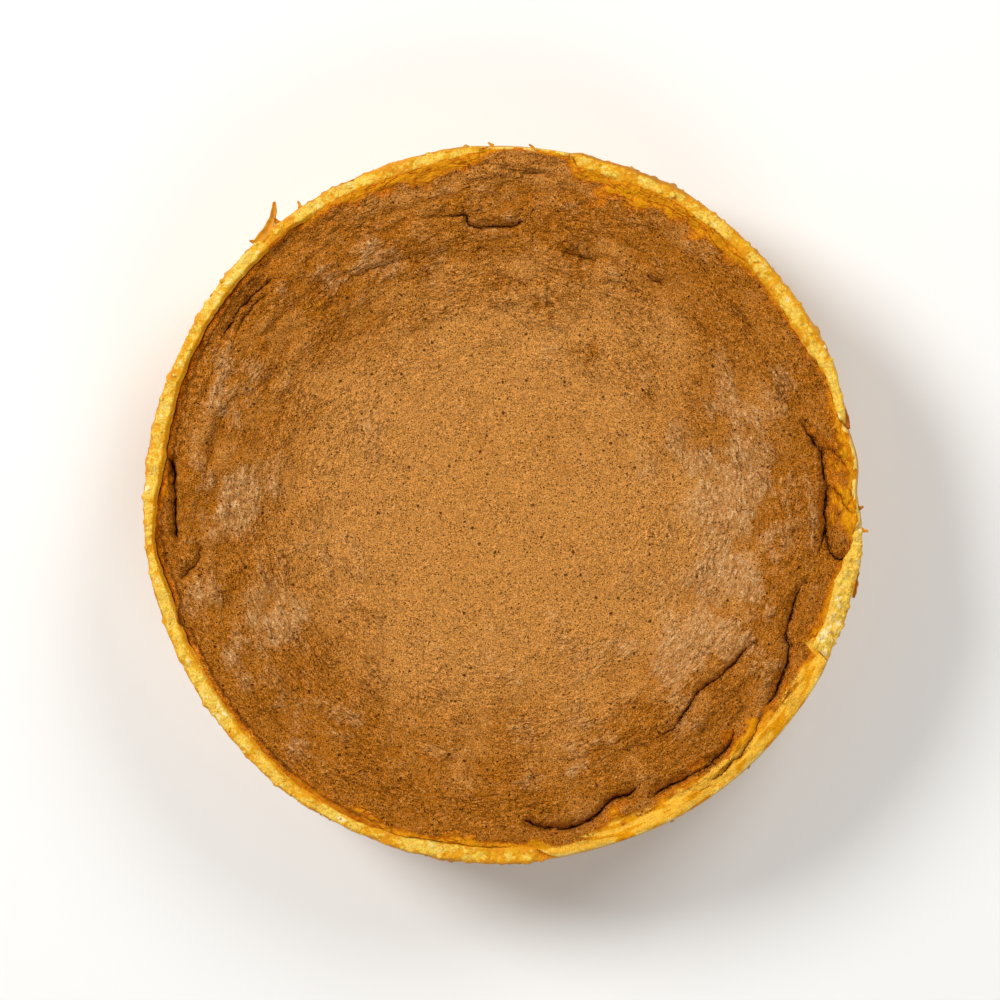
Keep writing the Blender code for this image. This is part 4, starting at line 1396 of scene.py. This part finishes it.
# Skin that dried on the tin's wall: a crisp film, golden where it is thin and toffee-brown where
# it is thick, with darker specks.
def shred_material(colours):
    material, tree, shader, place, masks = blank_material("crisp_toasted_film", ("toast",))
    noises = add_rows(tree, NOISES, (
        ("grain", 1.0 / (0.7 * MM), 3.0, 0.6),
        ("mottle", 1.0 / (2.6 * MM), 3.0, 0.6),
    ), {"Vector": place})
    shares = add_rows(tree, RANGES, (
        ("toast", combined(tree, (
            (noises["mottle"], 1.2), (masks["toast"], 1.0),
        ), -0.6), 0.1, 0.9, 0.0, 1.0),
        ("dark", noises["grain"], 0.52, 0.78, 0.0, 0.45),
    ), SOFT_ENDS)
    bump = add_node(tree, "ShaderNodeBump", {
        "Strength": 0.5, "Distance": 0.2 * MM, "Height": noises["grain"],
    })
    set_up(tree, shader, {
        "Base Color": layered(tree, colours.gold, (
            (shares["toast"], colours.shred), (shares["dark"], colours.crack),
        )),
        "Roughness": combined(tree, ((noises["grain"], 0.3),), 0.40),
        "Normal": bump.outputs["Normal"],
        "Specular IOR Level": 0.25,
    })
    return material


# A white paper sweep: matt, with nothing on it for the eye but the cake's soft shadow.
def floor_material(colours):
    material, tree, shader, place, _ = blank_material("matt_paper_sweep")
    fibre = add_node(tree, "ShaderNodeTexNoise", {"Vector": place, "Scale": 1.0 / (60.0 * MM)})
    set_up(tree, shader, {
        "Base Color": colours.floor,
        "Roughness": combined(tree, ((fibre.outputs["Fac"], 0.1),), 0.8),
        "Specular IOR Level": 0.1,
    })
    return material


# ---- light and camera ------------------------------------------------------------------------


def light_stage(scene):
    """Hangs the soft lamps, each facing the cake, in pale air."""
    for name, place, size, watts in LAMPS:
        lamp = bpy.data.lights.new(name, "AREA")
        lamp.shape, lamp.size, lamp.energy = "DISK", size, watts
        light = bpy.data.objects.new(name, lamp)
        light.location = place
        light.rotation_euler = Vector(place).to_track_quat("Z", "Y").to_euler()
        scene.collection.objects.link(light)
    world = bpy.data.worlds.new("studio_air")
    world.use_nodes = True
    set_up(world.node_tree, world.node_tree.nodes["Background"], {
        "Color": (1.0, 1.0, 1.0, 1.0), "Strength": AIR_STRENGTH,
    })
    scene.world = world


def set_camera(scene):
    """Sets the camera straight above the cake, looking down."""
    lens = bpy.data.cameras.new("camera")
    lens.lens, lens.sensor_width = FOCAL_LENGTH, SENSOR_WIDTH
    camera = bpy.data.objects.new("camera", lens)
    camera.location = CAMERA_PLACE
    scene.collection.objects.link(camera)
    scene.camera = camera


# ---- operators -------------------------------------------------------------------------------


class CHEESECAKE_OT_curd(bpy.types.Operator):
    """Spins the body of curd and tears the rim that the tin pulled the skin from"""

    bl_idname = "cheesecake.curd"
    bl_label = "Curd body"

    def execute(self, context):
        sizes, colours = context.scene.cheesecake_sizes, context.scene.cheesecake_colours
        spin_section(curd_section(sizes), steps=SPIN_STEPS)
        curd = named("curd_body")
        moved, masks = tear_curd(sizes, points_of(curd.data))
        move_points(curd.data, moved + AXIS)
        add_masks(curd.data, masks)
        finish_piece(curd, curd_material(colours))
        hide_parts(NODE)
        return {"FINISHED"}


class CHEESECAKE_OT_skin(bpy.types.Operator):
    """Lays the browned skin in its wrinkles and folds over the sunken top"""

    bl_idname = "cheesecake.skin"
    bl_label = "Browned skin"

    def execute(self, context):
        sizes, colours = context.scene.cheesecake_sizes, context.scene.cheesecake_colours
        hexagon_disc(DISC_CUTS)
        turn_down_edge(EDGE_DROPS)
        skin = named("browned_skin")
        moved, masks = lay_skin(sizes, points_of(skin.data))
        move_points(skin.data, moved + AXIS)
        add_masks(skin.data, masks)
        finish_piece(skin, browned_skin_material(sizes, colours))
        return {"FINISHED"}


class CHEESECAKE_OT_shreds(bpy.types.Operator):
    """Adds the crisp shreds and flakes of skin that stand out of the torn rim"""

    bl_idname = "cheesecake.shreds"
    bl_label = "Browned shreds"

    def execute(self, context):
        sizes, colours = context.scene.cheesecake_sizes, context.scene.cheesecake_colours
        pattern = model_strip()
        strip = points_of(pattern.data)
        pieces = []
        for number, shred in enumerate(SHREDS):
            points = bend_shred(sizes, shred, strip, number) + AXIS
            pieces.append(copied(pattern, f"shred_{number}", points))
            add_masks(pieces[-1].data, {"toast": np.full(len(points), shred.toast)})
        remove_pattern(pattern)
        shreds = joined(pieces, "browned_shreds")
        thicken(shreds, SHRED_THICKNESS)
        finish_piece(shreds, shred_material(colours))
        return {"FINISHED"}


class CHEESECAKE_OT_crumbs(bpy.types.Operator):
    """Scatters crumbs of curd over the torn rim"""

    bl_idname = "cheesecake.crumbs"
    bl_label = "Curd crumbs"

    def execute(self, context):
        sizes = context.scene.cheesecake_sizes
        draw = random.Random(CRUMB_SEED)
        curd = bpy.data.objects["curd_body"]
        pattern = model_crumb()
        ball = points_of(pattern.data)
        pieces, fresh = [], []
        while len(pieces) < sizes.crumbs:
            degrees, across = draw.uniform(-180.0, 180.0), draw.uniform(0.02, 1.0) ** 0.7
            angle = np.array([degrees])
            if torn(angle)[0] < TORN_ENOUGH:
                continue
            inner, outer = rim_inner_radius(sizes, angle)[0], outline_radius(sizes, angle)[0]
            x, y = plan_of(angle, inner + (outer - inner) * across)[0]
            above = Vector((x, y, ABOVE_CAKE)) + AXIS
            hit, place, normal, _ = curd.ray_cast(above, Vector((0.0, 0.0, -1.0)))
            if not hit:
                continue
            width = sizes.crumb * draw.lognormvariate(-0.1, 0.38)
            shape = np.array([draw.uniform(0.7, 1.35) for _ in range(3)]) * width
            seed = draw.uniform(0.0, 90.0)
            dented = ball * (1.0 + 0.55 * bumps(ball, 0.45, 2, seed))[:, None] * shape
            place = place - normal * CRUMB_SUNK * width
            pieces.append(copied(pattern, f"crumb_{len(pieces)}", dented + place))
            fresh += [draw.uniform(0.3, 1.2)] * len(ball)
        remove_pattern(pattern)
        crumbs = joined(pieces, "curd_crumbs")
        none = np.zeros(len(fresh))
        add_masks(crumbs.data, {"fresh": np.array(fresh), "toast": none, "wall": none})
        finish_piece(crumbs, bpy.data.materials["baked_cheese_curd"])
        return {"FINISHED"}


class CHEESECAKE_OT_stage(bpy.types.Operator):
    """Sets a pale floor, soft studio light and a camera that looks straight down"""

    bl_idname = "cheesecake.stage"
    bl_label = "Stage"

    def execute(self, context):
        colours = context.scene.cheesecake_colours
        deselect_all()
        bpy.ops.mesh.primitive_plane_add(size=FLOOR_WIDTH)
        floor = named("floor")
        floor.data.materials.append(floor_material(colours))
        light_stage(context.scene)
        set_camera(context.scene)
        context.scene.view_settings.view_transform = "Standard"
        return {"FINISHED"}


OPERATORS = (
    CHEESECAKE_OT_curd, CHEESECAKE_OT_skin, CHEESECAKE_OT_shreds, CHEESECAKE_OT_crumbs,
    CHEESECAKE_OT_stage,
)


class CHEESECAKE_PT_panel(bpy.types.Panel):
    """Lists the sizes, the colours and the steps of making the cake"""

    bl_idname = "CHEESECAKE_PT_panel"
    bl_label = "Baked Cheesecake"
    bl_space_type = "VIEW_3D"
    bl_region_type = "UI"
    bl_category = "Cheesecake"

    def draw(self, context):
        for group in (context.scene.cheesecake_sizes, context.scene.cheesecake_colours):
            box = self.layout.box()
            for name in group.__annotations__:
                box.prop(group, name)
        for operator in OPERATORS:
            self.layout.operator(operator.bl_idname)


CLASSES = (CheesecakeSizes, CheesecakeColours) + OPERATORS + (CHEESECAKE_PT_panel,)


def register():
    for kind in CLASSES:
        bpy.utils.register_class(kind)
    bpy.types.Scene.cheesecake_sizes = PointerProperty(type=CheesecakeSizes)
    bpy.types.Scene.cheesecake_colours = PointerProperty(type=CheesecakeColours)


def unregister():
    del bpy.types.Scene.cheesecake_colours
    del bpy.types.Scene.cheesecake_sizes
    for kind in reversed(CLASSES):
        bpy.utils.unregister_class(kind)


def main():
    register()
    bpy.ops.cheesecake.curd()
    bpy.ops.cheesecake.skin()
    bpy.ops.cheesecake.shreds()
    bpy.ops.cheesecake.crumbs()
    bpy.ops.cheesecake.stage()


if __name__ == "__main__":
    main()
